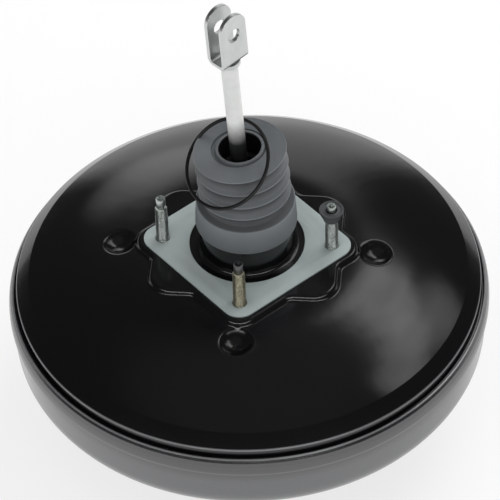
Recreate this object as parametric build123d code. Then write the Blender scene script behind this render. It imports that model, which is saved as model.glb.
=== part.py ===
from build123d import *
import math
import os

# Vacuum brake booster, seen from the side that bolts to the bulkhead.
# Lengths in mm. The origin is the middle of the bulkhead mounting plane, which is
# the top of the gasket. +Z runs along the booster's axis, towards the brake pedal.
# Everything is drawn at rest: brakes off, piston back, both shells crimped together.

# Shells
SHELL_RADIUS = 150.0          # widest place, at the crease of the front shell
SHELL_WALL = 1.5              # sheet steel of both shells
FOLD_GAP = 0.3                # room left between pieces that only lie beside each other
FACE_GAP = 0.3                # room left between a moving piece and its stop
SLIDE_CLEARANCE = 0.08        # between a sliding piece and its guide
PAST = 1.0                    # how far a cutting shape runs past what it cuts
PISTON_STROKE = 32.0

# Bulkhead studs
STUD_SPACING = 74.0           # square pattern, between neighbours
STUD_RADIUS = 4.0
STUD_PLAIN_TOP = 19.0         # full thread ends here, the lead thread goes on
STUD_LEAD_LENGTH = 7.8
STUD_LEAD_STEP = 0.25
STUD_LEAD_CHAMFER = 0.9
STUD_COLLAR_STEP = 1.0
STUD_COLLAR_HEIGHT = 0.3
STUD_NECK_LENGTH = 1.4
STUD_NECK_STEP = 1.7
STUD_TIP_LENGTH = 5.8
STUD_TIP_STEP = 1.1
STUD_TIP_CHAMFER = 0.4
STUD_TIP_WALL = 1.2
STUD_TIP_HOLLOW = 0.8
STUD_HEAD_STEP = 2.0
STUD_HEAD_HEIGHT = 3.0

# Gasket
GASKET_THICKNESS = 1.2
GASKET_MARGIN = 11.5          # past the studs' centres
GASKET_CORNER = 11.0
GASKET_HOLE_ROOM = 3.5        # round the cove at the neck's foot
GASKET_STUD_ROOM = 0.2

# Rear shell
PAD_HEIGHT = 4.3              # raised pad under the gasket
PAD_MARGIN = 1.5              # pad past the gasket
PAD_SQUARE_CORNER = 12.0
PAD_LOBE_REACH = 11.0         # turned rectangle of the pad: longer than the square by this
PAD_LOBE_WAIST = 15.0         # and narrower by this
PAD_TURNED_CORNER = 14.0
PAD_DRAFT = 32.0              # slope of the pad's flank, degrees
PAD_ROUND = 1.4
NECK_TOP = 33.0
NECK_FOOT_ROUND = 3.5
CROWN_START = 60.0            # the face is flat inside this radius
CROWN_DROP = 18.4             # from the flat down to the crown's edge
CROWN_BEND = 4.5              # inside radius of the bend at the crown's edge
BAND_WIDTH = 8.3              # steeper band between the crown and the rim
BAND_DROP = 6.9
RIM_BEND = 0.5                # inside radius of the bend at the rim
DIMPLE_FROM_STUD = 28.2       # each dimple stands this far out from a stud
DIMPLE_RADIUS = 11.0
DIMPLE_DEPTH = 3.0
DIMPLE_DRAFT = 30.0

# Crimped rim, from the lip down
LIP_DROP = 5.0                # lip below the rear shell's rim
LIP_STEP = 1.6                # lip inside the widest place
LIP_WIDTH = 2.0
LIP_ROOM = 1.6                # between the lip and the rear shell
LIP_BEVEL = 0.8
LIP_INNER_BEVEL = 0.5
CRIMP_HEIGHT = 11.2           # from the lip to the crease
CREASE_HEIGHT = 5.0           # the crimp is upright this far above the crease
FLANGE_SIDE_GAP = 0.3

# Front shell
WALL_STEP = 1.4               # wall inside the widest place, just below the crease
WALL_PULL_IN = 1.0
WALL_HEIGHT = 27.0
WALL_FOOT_ROUND = 12.0
ANNULUS_WIDTH = 49.6
ANNULUS_ROUND = 10.0
HUB_DEPTH = 30.0              # hub's face below the flat ring around it
HUB_MARGIN = 12.0             # hub past the plate inside it
HUB_ROUND = 8.0
PILOT_TO_STUD = 16.0          # the hole takes the nose of the master cylinder
PILOT_DEPTH = 10.0
FRONT_STUD_SPACING = 92.0
FRONT_STUD_LENGTH = 22.0
FRONT_STUD_CHAMFER = 0.8

# Inside plates
REAR_PLATE_MARGIN = 9.0       # past the studs' centres
REAR_PLATE_CORNER = 12.0
REAR_PLATE_THICKNESS = 2.5
FRONT_PLATE_THICKNESS = 2.5
FRONT_PLATE_MARGIN = 8.0      # past the studs' centres

# Ball of the input rod and the socket in the plunger; the neck is sized from here outwards
BALL_Z = 12.0
BALL_RADIUS = 6.0
BALL_CLEARANCE = 0.06
SOCKET_WALL = 3.0
POPPET_ROOM = 10.5            # from the socket to the bore, for the poppet and its bellows
TUBE_WALL = 4.5
BUSH_WALL = 3.1               # guide bush and seal between the tube and the neck

# Piston and its valve body
TUBE_TOP = 62.0
VALVE_FLOOR_Z = 2.0           # bottom of the big bore, where the air seat stands
FLANGE_RADIUS = 46.0
FLANGE_ROOM = 7.8             # under the rear plate, for the heads of the studs
FLANGE_THICKNESS = 13.0
BOSS_RADIUS = 24.0
BOSS_LENGTH = 22.0
DISC_RADIUS = 14.0
DISC_THICKNESS = 8.0
DISC_DEPTH = 11.0             # of the bore that the reaction disc lies in
SEAT_FROM_BORE = 3.5
SEAT_WIDTH = 1.2
SEAT_HEIGHT = 2.5
GROOVE_FROM_TOP = 2.0         # groove of the flange that holds plate and diaphragm

# Diaphragm and its plate
PLATE_THICKNESS = 1.2
PLATE_EDGE_ROOM = 6.2         # between the rear shell's inside and the plate's edge
PLATE_HUB_REACH = 6.0         # flat ring of the plate outside the flange
PLATE_CORNER = 6.0
SKIRT_ROOM = 1.5              # over the check valve's grommet at full stroke
RUBBER = 1.5
BEAD_WIDTH = 4.0
ROLL_WIDTH = 18.5             # between the plate's skirt and the wall
ROLL_FROM_FOOT = 14.0         # the rolling fold starts this far above the wall's foot
ROLL_SIDE_GAP = 0.6

# Return spring
SPRING_WIRE = 4.0
SPRING_TURNS = 5
SPRING_LOW_ROOM = 1.0         # round the collar of the pilot hole
SPRING_HIGH_ROOM = 2.8        # round the output rod's retainer

# Output rod and its retainer
OUTPUT_HEAD = 3.0
OUTPUT_RADIUS = 6.0
OUTPUT_TIP_RADIUS = 4.5
OUTPUT_TIP_LENGTH = 14.0
OUTPUT_TIP_ROUND = 1.5
OUTPUT_REACH = 12.0           # past the hub's face
CUP_WALL = 1.2
CUP_SKIRT = 10.0
CUP_LIP = 4.0                 # reaches in under the reaction disc

# Neck fittings
RETAINER_HEIGHT = 2.0
RETAINER_ROOM = 1.0
BUSH_LOW = 8.0
BUSH_HEIGHT = 7.0
SEAL_HEIGHT = 8.0
SEAL_WALL = 1.2
SEAL_FLOOR = 2.5
SEAL_LIP_HEIGHT = 4.0
SEAL_LIP_SLOPE = 1.5
SEAL_LIP_OPEN = 0.8

# Control valve
KEY_WIDTH = 13.0
KEY_HOLD = 3.0                # how far the fork reaches under the rear shell's plate
KEY_THICKNESS = 3.0
KEY_ROOM = 0.2
PASSAGE_RADIUS = 2.2          # vacuum passages through the valve body
PASSAGE_OFFSET = 18.0
POPPET_TOP = 22.0
POPPET_THICKNESS = 2.5
POPPET_EDGE_ROOM = 1.0
BELLOWS_FROM_BORE = 4.0
BELLOWS_WALL = 1.5
POPPET_SPRING_ROOM = 3.2
POPPET_SPRING_WIRE = 1.0
POPPET_SPRING_TURNS = 4
RETAINER_SHEET = 1.5
RETAINER_LIP = 4.0
RETAINER_REACH = 7.5
FILTER_INSET = 1.0            # below the tube's end
FILTER_HEIGHT = 7.0
FILTER_RING = 7.5
SILENCER_HEIGHT = 4.0
ROD_SPRING_WIRE = 1.4
ROD_SPRING_TURNS = 5
ROD_SPRING_FROM_BORE = 6.0
SPRING_CUP_RADIUS = 12.5
SPRING_CUP_THICKNESS = 1.2
CUP_ROOM = 3.2                # round the rod, so that it can lean
CUP_GAP = 1.2                 # under the rod's collar, so that it can lean

# Plunger
PLUNGER_RADIUS = 7.0
PLUNGER_STROKE = 2.5
PLUNGER_NECK_RADIUS = 4.5
PLUNGER_NECK_REACH = 8.0
PLUNGER_GAP = 3.0             # plunger to reaction disc at rest
SOCKET_LIFT = 0.5             # socket above the valve body's floor when pushed in
SOCKET_OVER_BALL = 3.0
MOUTH_LOW_RADIUS = 3.8
MOUTH_HIGH_RADIUS = 8.0
MOUTH_HEIGHT = 4.5

# Input rod
ROD_RADIUS = 5.1
ROD_NECK_RADIUS = 3.4
ROD_NECK_TOP = 10.0
ROD_NECK_CONE = 3.0
ROD_LEAN = 2.8                # degrees
ROD_LEAN_TOWARDS = 141.5      # compass direction of the lean, degrees from +X
ROD_COLLAR_RADIUS = 10.0
ROD_COLLAR_FROM_BALL = 30.0
ROD_COLLAR_THICKNESS = 2.0
RIVET_STEP = 1.0

# Clevis
CLEVIS_TURN = 4.0             # its pin axis is turned this much from +Y, degrees
CLEVIS_FROM_BALL = 141.0      # underside of the clevis, along the rod
PIN_FROM_BASE = 23.0
PIN_HOLE_RADIUS = 4.5
EAR_WIDTH = 19.5
EAR_TOP_CENTRE = 28.0         # centre of the round top, from the underside
EAR_GAP = 9.5
EAR_THICKNESS = 2.5
BEND_RADIUS = 1.5
CLEVIS_COLLAR_HEIGHT = 3.5
CLEVIS_COLLAR_STEP = 1.9
CLEVIS_COLLAR_CHAMFER = 0.8

# Dust boot
BOOT_GRIP = 13.0              # how far it reaches down over the neck
BOOT_SKIRT_RISE = 4.2         # skirt past the neck's end
BOOT_FOLDS_HEIGHT = 41.0
BOOT_SKIRT_WALL = 2.5
BOOT_SKIRT_DRAFT = 0.9
BOOT_STEP_IN = 3.1            # crests inside the skirt
BOOT_WALL = 1.6
BOOT_CONVOLUTIONS = 4
BOOT_FOLD = 1.5               # how deep each fold goes in
BOOT_VALLEY = 4.5             # height of a fold's valley over its lower crest
BOOT_MOUTH = 13.5
BOOT_MOUTH_LIP = 2.0

# Loose seal ring of the master cylinder, as wide as the boot that it lies round
RING_SECTION = 1.0
RING_SHIFT = (-13.1, -0.1, -2.6)   # from the middle of the boot's top
RING_TILT = 38.6
RING_LOW_TOWARDS = 180.0      # compass direction in which the ring hangs low

# Push-on cap on one bulkhead stud
CAP_CUP_RADIUS = 5.6
CAP_WALL = 1.9
CAP_FOOT_RADIUS = 5.2
CAP_FROM_THREAD = 3.0         # foot above the full thread's end
CAP_TAPER_HEIGHT = 5.5
CAP_RIM_HEIGHT = 3.3
CAP_BEVEL = 0.6
CAP_CUP_DEPTH = 3.5

# Vacuum check valve
VALVE_FROM_WALL = 31.6        # axis of the check valve, in from the shell's wall
VALVE_ANGLE = 90.0            # its compass direction, which is also the nipple's
PORT_RADIUS = 9.0
GROMMET_LIP = 3.0             # past the edge of its hole
GROMMET_LOW = 5.0
GROMMET_HIGH = 3.0
GROMMET_SLOPE = 0.5
GROMMET_HIGH_LIP = 1.0
VALVE_STEM_RADIUS = 6.0
VALVE_STEM_REACH = 6.0        # past the shell, inside and out
VALVE_CHAMBER_RADIUS = 10.0
VALVE_CHAMBER_DEPTH = 24.0
VALVE_CHAMBER_WALL = 2.0
VALVE_CHAMBER_FLOOR = 1.5
CHECK_SEAT_RADIUS = 4.0
CHECK_POPPET_ROOM = 1.5
CHECK_POPPET_THICKNESS = 2.0
CHECK_POPPET_STEM_RADIUS = 2.0
CHECK_POPPET_STEM_LENGTH = 6.3
CHECK_SPRING_RADIUS = 3.2
CHECK_SPRING_WIRE = 0.8
CHECK_SPRING_TURNS = 3
NIPPLE_RADIUS = 5.5
NIPPLE_BORE = 3.7
NIPPLE_LENGTH = 16.0
NIPPLE_ROOT_RADIUS = 7.0      # shoulder that the hose stops against
NIPPLE_ROOT_LENGTH = 2.0

# Worked out: radii, from the rim inwards
LIP_OUTER = SHELL_RADIUS - LIP_STEP
LIP_INNER = LIP_OUTER - LIP_WIDTH
REAR_RADIUS = LIP_INNER - LIP_ROOM
CROWN_EDGE = REAR_RADIUS - BAND_WIDTH
CROWN_REACH = CROWN_EDGE - CROWN_START
CROWN_RADIUS = (CROWN_REACH**2 + CROWN_DROP**2) / (2 * CROWN_DROP)
WALL_TOP_RADIUS = SHELL_RADIUS - WALL_STEP
WALL_FOOT_RADIUS = WALL_TOP_RADIUS - WALL_PULL_IN
ANNULUS_INNER = WALL_FOOT_RADIUS - ANNULUS_WIDTH
ROLL_OUTER = WALL_FOOT_RADIUS - SHELL_WALL - ROLL_SIDE_GAP
PLATE_RADIUS = ROLL_OUTER - ROLL_WIDTH
VALVE_CIRCLE = WALL_FOOT_RADIUS - VALVE_FROM_WALL

# Worked out: radii, from the middle outwards
SOCKET_RADIUS = BALL_RADIUS + SOCKET_WALL
TUBE_BORE = SOCKET_RADIUS + POPPET_ROOM
TUBE_RADIUS = TUBE_BORE + TUBE_WALL
NECK_BORE = TUBE_RADIUS + BUSH_WALL
NECK_RADIUS = NECK_BORE + SHELL_WALL
SEAT_RADIUS = TUBE_BORE - SEAT_FROM_BORE
BOOT_SKIRT_RADIUS = NECK_RADIUS + FOLD_GAP + BOOT_SKIRT_WALL
BOOT_RADIUS = BOOT_SKIRT_RADIUS - BOOT_STEP_IN
FRONT_PLATE_RADIUS = FRONT_STUD_SPACING / 2 + FRONT_PLATE_MARGIN
HUB_OUTER = FRONT_PLATE_RADIUS + HUB_MARGIN
PILOT_RADIUS = FRONT_STUD_SPACING / 2 - PILOT_TO_STUD
PILOT_COLLAR = PILOT_RADIUS + SHELL_WALL
SPRING_LOW_RADIUS = PILOT_COLLAR + SPRING_LOW_ROOM + SPRING_WIRE / 2
SPRING_HIGH_RADIUS = BOSS_RADIUS + CUP_WALL + SPRING_HIGH_ROOM + SPRING_WIRE / 2

# Worked out: studs, gasket and pad
STUD_LEAD_RADIUS = STUD_RADIUS - STUD_LEAD_STEP
STUD_NECK_RADIUS = STUD_RADIUS - STUD_NECK_STEP
STUD_TIP_RADIUS = STUD_RADIUS - STUD_TIP_STEP
STUD_COLLAR_RADIUS = STUD_RADIUS + STUD_COLLAR_STEP
STUD_HEAD_RADIUS = STUD_COLLAR_RADIUS + STUD_HEAD_STEP
STUD_LEAD_TOP = STUD_PLAIN_TOP + STUD_LEAD_LENGTH
STUD_TIP_TOP = STUD_LEAD_TOP + STUD_NECK_LENGTH + STUD_TIP_LENGTH
GASKET_SIZE = STUD_SPACING + 2 * GASKET_MARGIN
GASKET_HOLE = NECK_RADIUS + NECK_FOOT_ROUND + GASKET_HOLE_ROOM
PAD_SQUARE = GASKET_SIZE + 2 * PAD_MARGIN
PAD_LONG = PAD_SQUARE + PAD_LOBE_REACH
PAD_SHORT = PAD_SQUARE - PAD_LOBE_WAIST
REAR_PLATE_SIZE = STUD_SPACING + 2 * REAR_PLATE_MARGIN
DIMPLE_CIRCLE = STUD_SPACING * math.sqrt(0.5) + DIMPLE_FROM_STUD
CAP_RADIUS = CAP_CUP_RADIUS + CAP_WALL
CAP_BOTTOM = STUD_PLAIN_TOP + CAP_FROM_THREAD
CAP_SHOULDER = CAP_BOTTOM + CAP_TAPER_HEIGHT
CAP_TOP = CAP_SHOULDER + CAP_RIM_HEIGHT

# Worked out: heights, from the mounting plane down
FACE_Z = -GASKET_THICKNESS
CROWN_TOP = FACE_Z - PAD_HEIGHT
CROWN_CENTRE_Z = CROWN_TOP - CROWN_RADIUS
CROWN_EDGE_Z = CROWN_TOP - CROWN_DROP
RIM_Z = CROWN_EDGE_Z - BAND_DROP
LIP_TOP = RIM_Z - LIP_DROP
CREASE_Z = LIP_TOP - CRIMP_HEIGHT
WALL_FOOT_Z = CREASE_Z - WALL_HEIGHT
ANNULUS_Z = WALL_FOOT_Z - WALL_FOOT_ROUND
HUB_FACE_Z = ANNULUS_Z - HUB_DEPTH
REAR_PLATE_TOP = FACE_Z - SHELL_WALL
REAR_PLATE_BOTTOM = REAR_PLATE_TOP - REAR_PLATE_THICKNESS
FRONT_PLATE_BOTTOM = HUB_FACE_Z + SHELL_WALL
FRONT_PLATE_TOP = FRONT_PLATE_BOTTOM + FRONT_PLATE_THICKNESS
KEY_Z = REAR_PLATE_BOTTOM - FACE_GAP - KEY_THICKNESS / 2
FLANGE_TOP_Z = REAR_PLATE_BOTTOM - FLANGE_ROOM
FLANGE_LOW_Z = FLANGE_TOP_Z - FLANGE_THICKNESS
BOSS_FACE_Z = FLANGE_LOW_Z - BOSS_LENGTH
DISC_TOP_Z = BOSS_FACE_Z + DISC_DEPTH
GROOVE_HIGH = FLANGE_TOP_Z - GROOVE_FROM_TOP
GROOVE_LOW = GROOVE_HIGH - RUBBER - PLATE_THICKNESS - FOLD_GAP * 2
PLATE_SKIRT_Z = ANNULUS_Z + SHELL_WALL + GROMMET_HIGH + PISTON_STROKE + SKIRT_ROOM
ROLL_Z = WALL_FOOT_Z + ROLL_FROM_FOOT
OUTPUT_TIP_Z = HUB_FACE_Z - OUTPUT_REACH
CHECK_ROOF = -(VALVE_STEM_REACH + VALVE_CHAMBER_WALL)

# Worked out: heights, from the mounting plane up
SPRING_CUP_TOP = BALL_Z + ROD_COLLAR_FROM_BALL - CUP_GAP
AIR_FILTER_LOW = TUBE_TOP - FILTER_INSET - SILENCER_HEIGHT - FILTER_HEIGHT
BOOT_BOTTOM = NECK_TOP - BOOT_GRIP
BOOT_SKIRT_TOP = NECK_TOP + BOOT_SKIRT_RISE
BOOT_TOP = BOOT_SKIRT_TOP + BOOT_FOLDS_HEIGHT


def disc(radius, low, high, x=0.0, y=0.0):
    """Upright round bar between two heights."""
    bar = Cylinder(radius, high - low, align=(Align.CENTER, Align.CENTER, Align.MIN))
    return Pos(x, y, low) * bar


def ring(outer, inner, low, high, x=0.0, y=0.0):
    """Upright tube between two heights."""
    return disc(outer, low, high, x, y) - disc(inner, low - 1, high + 1, x, y)


def turned(*points):
    """Solid of revolution about Z from (radius, height) points."""
    return revolve(Plane.XZ * make_face(Polyline(*points, close=True)), Axis.Z)


def rounded_rectangle(width, height, corner, angle=0.0):
    return Rot(0, 0, angle) * RectangleRounded(width, height, corner)


def at_square(spacing):
    """The four corners of a square pattern."""
    half = spacing / 2
    return [(x * half, y * half) for x in (-1, 1) for y in (-1, 1)]


def spring(radius, wire, low, high, turns, top_radius=None):
    """Coil spring that stands between two seats, just clear of each."""
    rise = high - low - wire - 2 * FOLD_GAP
    slope = 0.0 if top_radius is None else math.degrees(math.atan2(top_radius - radius, rise))
    path = Helix(rise / turns, rise, radius, center=(0, 0, low + wire / 2 + FOLD_GAP), cone_angle=slope)
    section = Plane(origin=path @ 0, z_dir=path % 0) * Circle(wire / 2)
    return sweep(section, path=path, is_frenet=True)


# Rear shell

def crown_height(radius):
    """Height of the rear shell's outside at a radius between the flat and the crown's edge."""
    reach = max(radius - CROWN_START, 0.0)
    return CROWN_CENTRE_Z + math.sqrt(CROWN_RADIUS**2 - reach**2)


def mitred(radius, height, slope_in, slope_out, inset):
    """A corner of the outside moved in by the wall, between two slopes in radians."""
    middle = (slope_in + slope_out) / 2
    reach = inset / math.cos((slope_out - slope_in) / 2)
    return radius - reach * math.sin(middle), height - reach * math.cos(middle)


def pad_outline(inset):
    square = rounded_rectangle(PAD_SQUARE, PAD_SQUARE, PAD_SQUARE_CORNER)
    turned_one = rounded_rectangle(PAD_LONG, PAD_SHORT, PAD_TURNED_CORNER, -45)
    outline = square + turned_one
    return offset(outline, -inset) if inset else outline


def neck_form(inset):
    """Round neck with a cove at its foot, filled; the bore has the same centres."""
    radius = NECK_RADIUS - inset
    face_z = FACE_Z - inset
    low = CROWN_TOP - inset
    cove_x = NECK_RADIUS + NECK_FOOT_ROUND
    cove_z = FACE_Z + NECK_FOOT_ROUND
    reach = (NECK_FOOT_ROUND + inset) * math.sqrt(0.5)
    top = NECK_TOP + (PAST if inset else 0.0)
    cove = ThreePointArc((cove_x, face_z), (cove_x - reach, cove_z - reach), (radius, cove_z))
    sides = Polyline(cove @ 1, (radius, top), (0, top), (0, low), (cove_x, low), cove @ 0)
    return revolve(Plane.XZ * make_face(cove + sides), Axis.Z)


def dimple(angle, inset):
    """Round cup that is pressed into the crown, as the solid that it takes away."""
    x = DIMPLE_CIRCLE * math.cos(math.radians(angle))
    y = DIMPLE_CIRCLE * math.sin(math.radians(angle))
    low = crown_height(DIMPLE_CIRCLE) - DIMPLE_DEPTH - inset
    height = CROWN_TOP + PAST - low
    slope = math.tan(math.radians(DIMPLE_DRAFT))
    bottom = DIMPLE_RADIUS + inset - DIMPLE_DEPTH * slope
    cup = Cone(bottom, bottom + height * slope, height, align=(Align.CENTER, Align.CENTER, Align.MIN))
    return Pos(x, y, low) * cup


def rear_form(inset):
    """The rear shell's outside as a filled form, or its inside when inset by the wall."""
    crown_slope = math.asin(CROWN_REACH / CROWN_RADIUS)
    band_slope = math.atan2(BAND_DROP, BAND_WIDTH)
    edge = mitred(CROWN_EDGE, CROWN_EDGE_Z, crown_slope, band_slope, inset)
    rim = mitred(REAR_RADIUS, RIM_Z, band_slope, math.pi / 2, inset)
    crown = CROWN_TOP - inset
    middle = (edge[0] - CROWN_START) / 2
    middle_z = CROWN_CENTRE_Z + math.sqrt((CROWN_RADIUS - inset)**2 - middle**2)
    arc = ThreePointArc((CROWN_START, crown), (CROWN_START + middle, middle_z), edge)
    sides = Polyline(edge, rim, (rim[0], WALL_FOOT_Z), (0, WALL_FOOT_Z), (0, crown), (CROWN_START, crown))
    face = make_face(arc + sides)
    for (x, y), bend in ((edge, CROWN_BEND), (rim, RIM_BEND)):
        corner = face.vertices().sort_by_distance((x, y, 0))[0]
        face = fillet(corner, bend + SHELL_WALL - inset)
    form = revolve(Plane.XZ * face, Axis.Z)
    form += extrude(Pos(0, 0, FACE_Z - inset) * pad_outline(inset), -2 * PAD_HEIGHT, taper=-PAD_DRAFT)
    if inset == 0:
        pad_edge = form.edges().filter_by_position(Axis.Z, FACE_Z - 0.01, FACE_Z + 0.01)
        form = fillet(pad_edge, PAD_ROUND)
    form += neck_form(inset)
    for angle in range(45, 360, 90):
        form -= dimple(angle, inset)
    return form


def rear_shell():
    shell = rear_form(0) - rear_form(SHELL_WALL)
    flange_top = LIP_TOP - SHELL_WALL
    shell &= disc(SHELL_RADIUS, flange_top - SHELL_WALL, NECK_TOP + PAST)
    flange_radius = SHELL_RADIUS - SHELL_WALL - FLANGE_SIDE_GAP
    shell += ring(flange_radius, REAR_RADIUS - SHELL_WALL, flange_top - SHELL_WALL, flange_top)
    for x, y in at_square(STUD_SPACING):
        shell -= disc(STUD_COLLAR_RADIUS, REAR_PLATE_TOP - PAST, FACE_Z + PAST, x, y)
    return shell


# Front shell

def front_profile(inset):
    """Outline of the front shell from the crease to the pilot hole, as a filled half section."""
    wall_foot = (WALL_FOOT_RADIUS - inset, ANNULUS_Z + inset)
    annulus_foot = (ANNULUS_INNER, ANNULUS_Z + inset)
    hub_foot = (HUB_OUTER, HUB_FACE_Z + inset)
    face = make_face(Polyline(
        (0, CREASE_Z), (WALL_TOP_RADIUS - inset, CREASE_Z), wall_foot, annulus_foot, hub_foot,
        (0, HUB_FACE_Z + inset), close=True,
    ))
    for radius, (x, y) in ((WALL_FOOT_ROUND - inset, wall_foot),
                           (ANNULUS_ROUND + inset, annulus_foot),
                           (HUB_ROUND - inset, hub_foot)):
        corner = face.vertices().sort_by_distance((x, y, 0))[0]
        face = fillet(corner, radius)
    return revolve(Plane.XZ * face, Axis.Z)


def crimp():
    """Folded rim of the front shell: ledge for the bead, upright wall and the lip turned in."""
    inner = SHELL_RADIUS - SHELL_WALL
    ledge = WALL_TOP_RADIUS - SHELL_WALL
    return turned(
        (WALL_TOP_RADIUS, CREASE_Z - PAST),
        (SHELL_RADIUS, CREASE_Z),
        (SHELL_RADIUS, CREASE_Z + CREASE_HEIGHT),
        (LIP_OUTER, LIP_TOP - LIP_BEVEL),
        (LIP_OUTER - LIP_BEVEL, LIP_TOP),
        (LIP_INNER + LIP_INNER_BEVEL, LIP_TOP),
        (LIP_INNER, LIP_TOP - LIP_INNER_BEVEL),
        (LIP_INNER, LIP_TOP - SHELL_WALL),
        (inner, LIP_TOP - SHELL_WALL),
        (inner, CREASE_Z + SHELL_WALL),
        (ledge, CREASE_Z + SHELL_WALL),
        (ledge, CREASE_Z - PAST),
    )


def check_valve_place():
    return (VALVE_CIRCLE * math.cos(math.radians(VALVE_ANGLE)),
            VALVE_CIRCLE * math.sin(math.radians(VALVE_ANGLE)))


def front_shell():
    shell = front_profile(0) - front_profile(SHELL_WALL) + crimp()
    shell -= disc(PILOT_RADIUS, HUB_FACE_Z - PAST, FRONT_PLATE_BOTTOM + PAST)
    shell += ring(PILOT_COLLAR, PILOT_RADIUS, HUB_FACE_Z, HUB_FACE_Z + PILOT_DEPTH)
    for side in (-1, 1):
        x = side * FRONT_STUD_SPACING / 2
        shell -= disc(STUD_COLLAR_RADIUS, HUB_FACE_Z - PAST, FRONT_PLATE_BOTTOM + PAST, x)
    shell -= disc(PORT_RADIUS, ANNULUS_Z - PAST, ANNULUS_Z + SHELL_WALL + PAST, *check_valve_place())
    return shell


# Studs and the plates that carry them

def stud(x, y):
    """One bulkhead stud: head, collar, full thread, lead thread and guide tip."""
    head_top = REAR_PLATE_BOTTOM
    tip_low = STUD_LEAD_TOP + STUD_NECK_LENGTH
    body = disc(STUD_HEAD_RADIUS, head_top - STUD_HEAD_HEIGHT, head_top)
    body += disc(STUD_COLLAR_RADIUS - SLIDE_CLEARANCE, head_top, STUD_COLLAR_HEIGHT)
    body += disc(STUD_RADIUS, STUD_COLLAR_HEIGHT, STUD_PLAIN_TOP)
    lead = disc(STUD_LEAD_RADIUS, STUD_PLAIN_TOP, STUD_LEAD_TOP)
    body += chamfer(lead.edges().sort_by(Axis.Z)[-1], STUD_LEAD_CHAMFER)
    body += disc(STUD_NECK_RADIUS, STUD_LEAD_TOP, tip_low)
    tip = disc(STUD_TIP_RADIUS, tip_low, STUD_TIP_TOP)
    tip = chamfer(tip.edges().sort_by(Axis.Z)[-1], STUD_TIP_CHAMFER)
    tip -= disc(STUD_TIP_RADIUS - STUD_TIP_WALL, STUD_TIP_TOP - STUD_TIP_HOLLOW, STUD_TIP_TOP + PAST)
    return Pos(x, y, 0) * (body + tip)


def bulkhead_studs():
    return Compound([stud(x, y) for x, y in at_square(STUD_SPACING)])


def master_cylinder_studs():
    studs = []
    for side in (-1, 1):
        x = side * FRONT_STUD_SPACING / 2
        end = HUB_FACE_Z - FRONT_STUD_LENGTH
        shank = disc(STUD_RADIUS, end, HUB_FACE_Z - STUD_COLLAR_HEIGHT)
        shank = chamfer(shank.edges().sort_by(Axis.Z)[0], FRONT_STUD_CHAMFER)
        collar_low = HUB_FACE_Z - STUD_COLLAR_HEIGHT
        shank += disc(STUD_COLLAR_RADIUS - SLIDE_CLEARANCE, collar_low, FRONT_PLATE_TOP)
        shank += disc(STUD_HEAD_RADIUS, FRONT_PLATE_TOP, FRONT_PLATE_TOP + STUD_HEAD_HEIGHT)
        studs.append(Pos(x, 0, 0) * shank)
    return Compound(studs)


def rear_reinforcement_plate():
    outline = rounded_rectangle(REAR_PLATE_SIZE, REAR_PLATE_SIZE, REAR_PLATE_CORNER)
    plate = extrude(Pos(0, 0, REAR_PLATE_BOTTOM) * outline, REAR_PLATE_THICKNESS)
    plate -= disc(NECK_BORE, REAR_PLATE_BOTTOM - PAST, REAR_PLATE_TOP + PAST)
    for x, y in at_square(STUD_SPACING):
        plate -= disc(STUD_COLLAR_RADIUS, REAR_PLATE_BOTTOM - PAST, REAR_PLATE_TOP + PAST, x, y)
    return plate


def front_reinforcement_plate():
    plate = ring(FRONT_PLATE_RADIUS, PILOT_COLLAR, FRONT_PLATE_BOTTOM, FRONT_PLATE_TOP)
    for side in (-1, 1):
        x = side * FRONT_STUD_SPACING / 2
        plate -= disc(STUD_COLLAR_RADIUS, FRONT_PLATE_BOTTOM - PAST, FRONT_PLATE_TOP + PAST, x)
    return plate


def mounting_gasket():
    outline = rounded_rectangle(GASKET_SIZE, GASKET_SIZE, GASKET_CORNER)
    sheet = extrude(Pos(0, 0, FACE_Z) * outline, GASKET_THICKNESS)
    sheet -= disc(GASKET_HOLE, FACE_Z - PAST, PAST)
    for x, y in at_square(STUD_SPACING):
        sheet -= disc(STUD_COLLAR_RADIUS + GASKET_STUD_ROOM, FACE_Z - PAST, PAST, x, y)
    return sheet


def stud_cap():
    """Push-on cap on the stud at +X, -Y, with the stud's tip showing in its cup."""
    body = turned(
        (0, CAP_BOTTOM), (CAP_FOOT_RADIUS, CAP_BOTTOM), (CAP_RADIUS, CAP_SHOULDER),
        (CAP_RADIUS, CAP_TOP - CAP_BEVEL), (CAP_RADIUS - CAP_BEVEL, CAP_TOP), (0, CAP_TOP),
    )
    body -= disc(CAP_CUP_RADIUS, CAP_TOP - CAP_CUP_DEPTH, CAP_TOP + PAST)
    body -= disc(STUD_LEAD_RADIUS + FOLD_GAP, CAP_BOTTOM - PAST, CAP_TOP)
    half = STUD_SPACING / 2
    return Pos(half, -half, 0) * body


# Neck fittings: bush, lip seal and the ring that holds them

def seal_retainer():
    return ring(NECK_BORE, TUBE_RADIUS + RETAINER_ROOM, BUSH_LOW - RETAINER_HEIGHT, BUSH_LOW)


def guide_bush():
    return ring(NECK_BORE, TUBE_RADIUS + SLIDE_CLEARANCE, BUSH_LOW, BUSH_LOW + BUSH_HEIGHT)


def neck_seal():
    """Lip seal: an outer wall, a floor and a lip that leans on the tube."""
    low = BUSH_LOW + BUSH_HEIGHT
    top = low + SEAL_HEIGHT
    floor = low + SEAL_FLOOR
    inner = TUBE_RADIUS + SLIDE_CLEARANCE
    wall = NECK_BORE - SEAL_WALL
    return turned(
        (inner, low + SEAL_LIP_SLOPE), (inner + SEAL_LIP_OPEN, low), (NECK_BORE, low), (NECK_BORE, top),
        (wall, top), (wall, floor), (inner + SEAL_WALL, floor), (inner, low + SEAL_LIP_HEIGHT),
    )


# Valve body and what rides in it

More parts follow.
